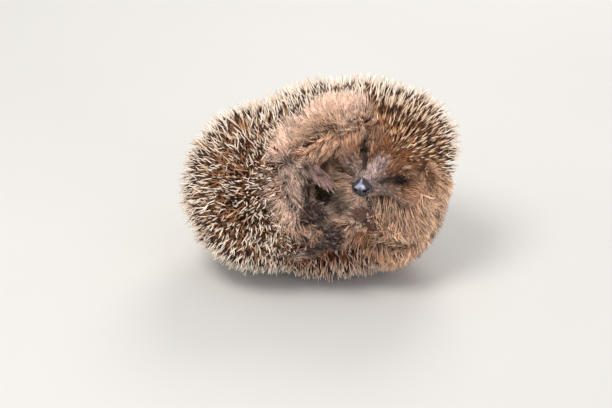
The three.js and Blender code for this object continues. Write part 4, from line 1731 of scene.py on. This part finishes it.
def make_camera():
    """The camera, looking into the belly opening."""
    data = bpy.data.cameras.new("camera")
    data.lens = LENS
    data.sensor_width = SENSOR
    data.clip_end = 20.0
    camera = linked("camera", data)
    aim = MIDDLE + CAMERA_AIM[0] * ACROSS + CAMERA_AIM[1] * FLANKWARD + CAMERA_AIM[2] * OUTWARD
    turn = Matrix((ACROSS, FLANKWARD, OUTWARD)).transposed().to_4x4()
    camera.matrix_world = Matrix.Translation(Vector(aim + CAMERA_AWAY * OUTWARD)) @ turn
    bpy.context.scene.camera = camera


def make_stage():
    """A pale floor, soft light and the camera."""
    bpy.ops.object.select_all(action="DESELECT")
    bpy.ops.mesh.primitive_plane_add(size=FLOOR_SIZE, location=(0, 0, 0))
    floor = bpy.context.object
    floor.name = "floor"
    smooth_shaded(floor, floor_look())
    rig.stage(floor)
    make_light()
    make_camera()
    bpy.context.scene.view_settings.view_transform = "Standard"


# ---- the add-on ----
def length_property(name, description, default):
    """A length that a user can change."""
    return bpy.props.FloatProperty(
        name=name, description=description, default=default, subtype="DISTANCE", unit="LENGTH"
    )


def colour_property(name, description, default):
    """A colour that a user can change."""
    return bpy.props.FloatVectorProperty(
        name=name, description=description, default=default, subtype="COLOR", size=3, min=0, max=1
    )


class HedgehogSpines(bpy.types.PropertyGroup):
    """The spines' sizes and colours."""

    length: length_property("Longest", "Length of the longest spines", 0.0200)
    thickness: length_property("Thickness", "A spine's width at its thickest", 0.00086)
    spacing: length_property("Spacing", "Least distance between two spines' roots", 0.00138)
    base: colour_property("Base", "Colour at the root", srgb(232, 184, 142))
    band: colour_property("Band", "Colour of the dark band", srgb(84, 52, 38))
    tip: colour_property("Tip", "Colour above the band", srgb(255, 236, 216))
    point: colour_property("Point", "Colour of the very point", srgb(255, 248, 236))


class HedgehogFur(bpy.types.PropertyGroup):
    """How much fur there is."""

    density: bpy.props.FloatProperty(
        name="Density", description="How many hairs there are, as a share of the full coat", default=1.0,
        min=0.1, max=1.5, subtype="FACTOR",
    )


class Made:
    """What the operators share: the CAD surfaces and the bed of skin."""

    surface = None
    bed = None


class HEDGEHOG_OT_skin(bpy.types.Operator):
    """Makes the one skin that stands for all the flesh"""

    bl_idname = "hedgehog.skin"
    bl_label = "Skin"

    def execute(self, context):
        Made.surface = Surface()
        skin = make_skin(Made.surface)
        Made.bed = Bed(Made.surface)
        store(skin, "dye", skin_dye(Made.bed.foot, Made.bed.owner))
        smooth_shaded(skin, skin_look())
        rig.ride(skin, "root")
        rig.replaces(skin, *FLESH)
        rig.slot(skin, "skin")
        return {"FINISHED"}


class HEDGEHOG_OT_nose(bpy.types.Operator):
    """Makes the nose pad"""

    bl_idname = "hedgehog.nose"
    bl_label = "Nose"

    def execute(self, context):
        make_nose()
        return {"FINISHED"}


class HEDGEHOG_OT_eyes(bpy.types.Operator):
    """Makes the eyeballs behind the lids"""

    bl_idname = "hedgehog.eyes"
    bl_label = "Eyes"

    def execute(self, context):
        make_eyes()
        return {"FINISHED"}


class HEDGEHOG_OT_claws(bpy.types.Operator):
    """Makes the claws on all four feet"""

    bl_idname = "hedgehog.claws"
    bl_label = "Claws"

    def execute(self, context):
        make_claws()
        return {"FINISHED"}


class HEDGEHOG_OT_spines(bpy.types.Operator):
    """Grows the spines of the mantle"""

    bl_idname = "hedgehog.spines"
    bl_label = "Spines"

    def execute(self, context):
        make_spines(Made.bed, context.scene.hedgehog_spines, np.random.default_rng(SEED))
        return {"FINISHED"}


class HEDGEHOG_OT_fur(bpy.types.Operator):
    """Grows the hair of the face, flanks, belly and limbs"""

    bl_idname = "hedgehog.fur"
    bl_label = "Fur"

    def execute(self, context):
        make_fur(Made.bed, context.scene.hedgehog_fur, np.random.default_rng(SEED + 1))
        return {"FINISHED"}


class HEDGEHOG_OT_whiskers(bpy.types.Operator):
    """Grows the whiskers"""

    bl_idname = "hedgehog.whiskers"
    bl_label = "Whiskers"

    def execute(self, context):
        make_whiskers(Made.bed, np.random.default_rng(SEED + 2))
        return {"FINISHED"}


class HEDGEHOG_OT_stage(bpy.types.Operator):
    """Makes the floor, the light and the camera"""

    bl_idname = "hedgehog.stage"
    bl_label = "Stage"

    def execute(self, context):
        make_stage()
        return {"FINISHED"}


OPERATORS = (
    HEDGEHOG_OT_skin,
    HEDGEHOG_OT_nose,
    HEDGEHOG_OT_eyes,
    HEDGEHOG_OT_claws,
    HEDGEHOG_OT_spines,
    HEDGEHOG_OT_fur,
    HEDGEHOG_OT_whiskers,
    HEDGEHOG_OT_stage,
)


class HEDGEHOG_PT_panel(bpy.types.Panel):
    """Lists the hedgehog's pieces in the order in which they are made"""

    bl_label = "Curled Hedgehog"
    bl_idname = "HEDGEHOG_PT_panel"
    bl_space_type = "VIEW_3D"
    bl_region_type = "UI"
    bl_category = "Hedgehog"

    def draw(self, context):
        for settings in (context.scene.hedgehog_spines, context.scene.hedgehog_fur):
            for key in settings.__annotations__:
                self.layout.prop(settings, key)
        for operator in OPERATORS:
            self.layout.operator(operator.bl_idname)


CLASSES = (HedgehogSpines, HedgehogFur) + OPERATORS + (HEDGEHOG_PT_panel,)


def register():
    """Registers the add-on's classes and its settings."""
    for each in CLASSES:
        bpy.utils.register_class(each)
    bpy.types.Scene.hedgehog_spines = bpy.props.PointerProperty(type=HedgehogSpines)
    bpy.types.Scene.hedgehog_fur = bpy.props.PointerProperty(type=HedgehogFur)


def unregister():
    """Takes the add-on's classes and settings away again."""
    del bpy.types.Scene.hedgehog_fur
    del bpy.types.Scene.hedgehog_spines
    for each in reversed(CLASSES):
        bpy.utils.unregister_class(each)


def main():
    """Makes the whole model, in order."""
    register()
    bpy.ops.hedgehog.skin()
    bpy.ops.hedgehog.nose()
    bpy.ops.hedgehog.eyes()
    bpy.ops.hedgehog.claws()
    bpy.ops.hedgehog.spines()
    bpy.ops.hedgehog.fur()
    bpy.ops.hedgehog.whiskers()
    bpy.ops.hedgehog.stage()
    boxes = {"cad": [list(v) for v in CAD_BOX], "model": [list(v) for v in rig.bounds()]}
    with open("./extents.json", "w") as file:
        json.dump(boxes, file)


if __name__ == "__main__":
    main()
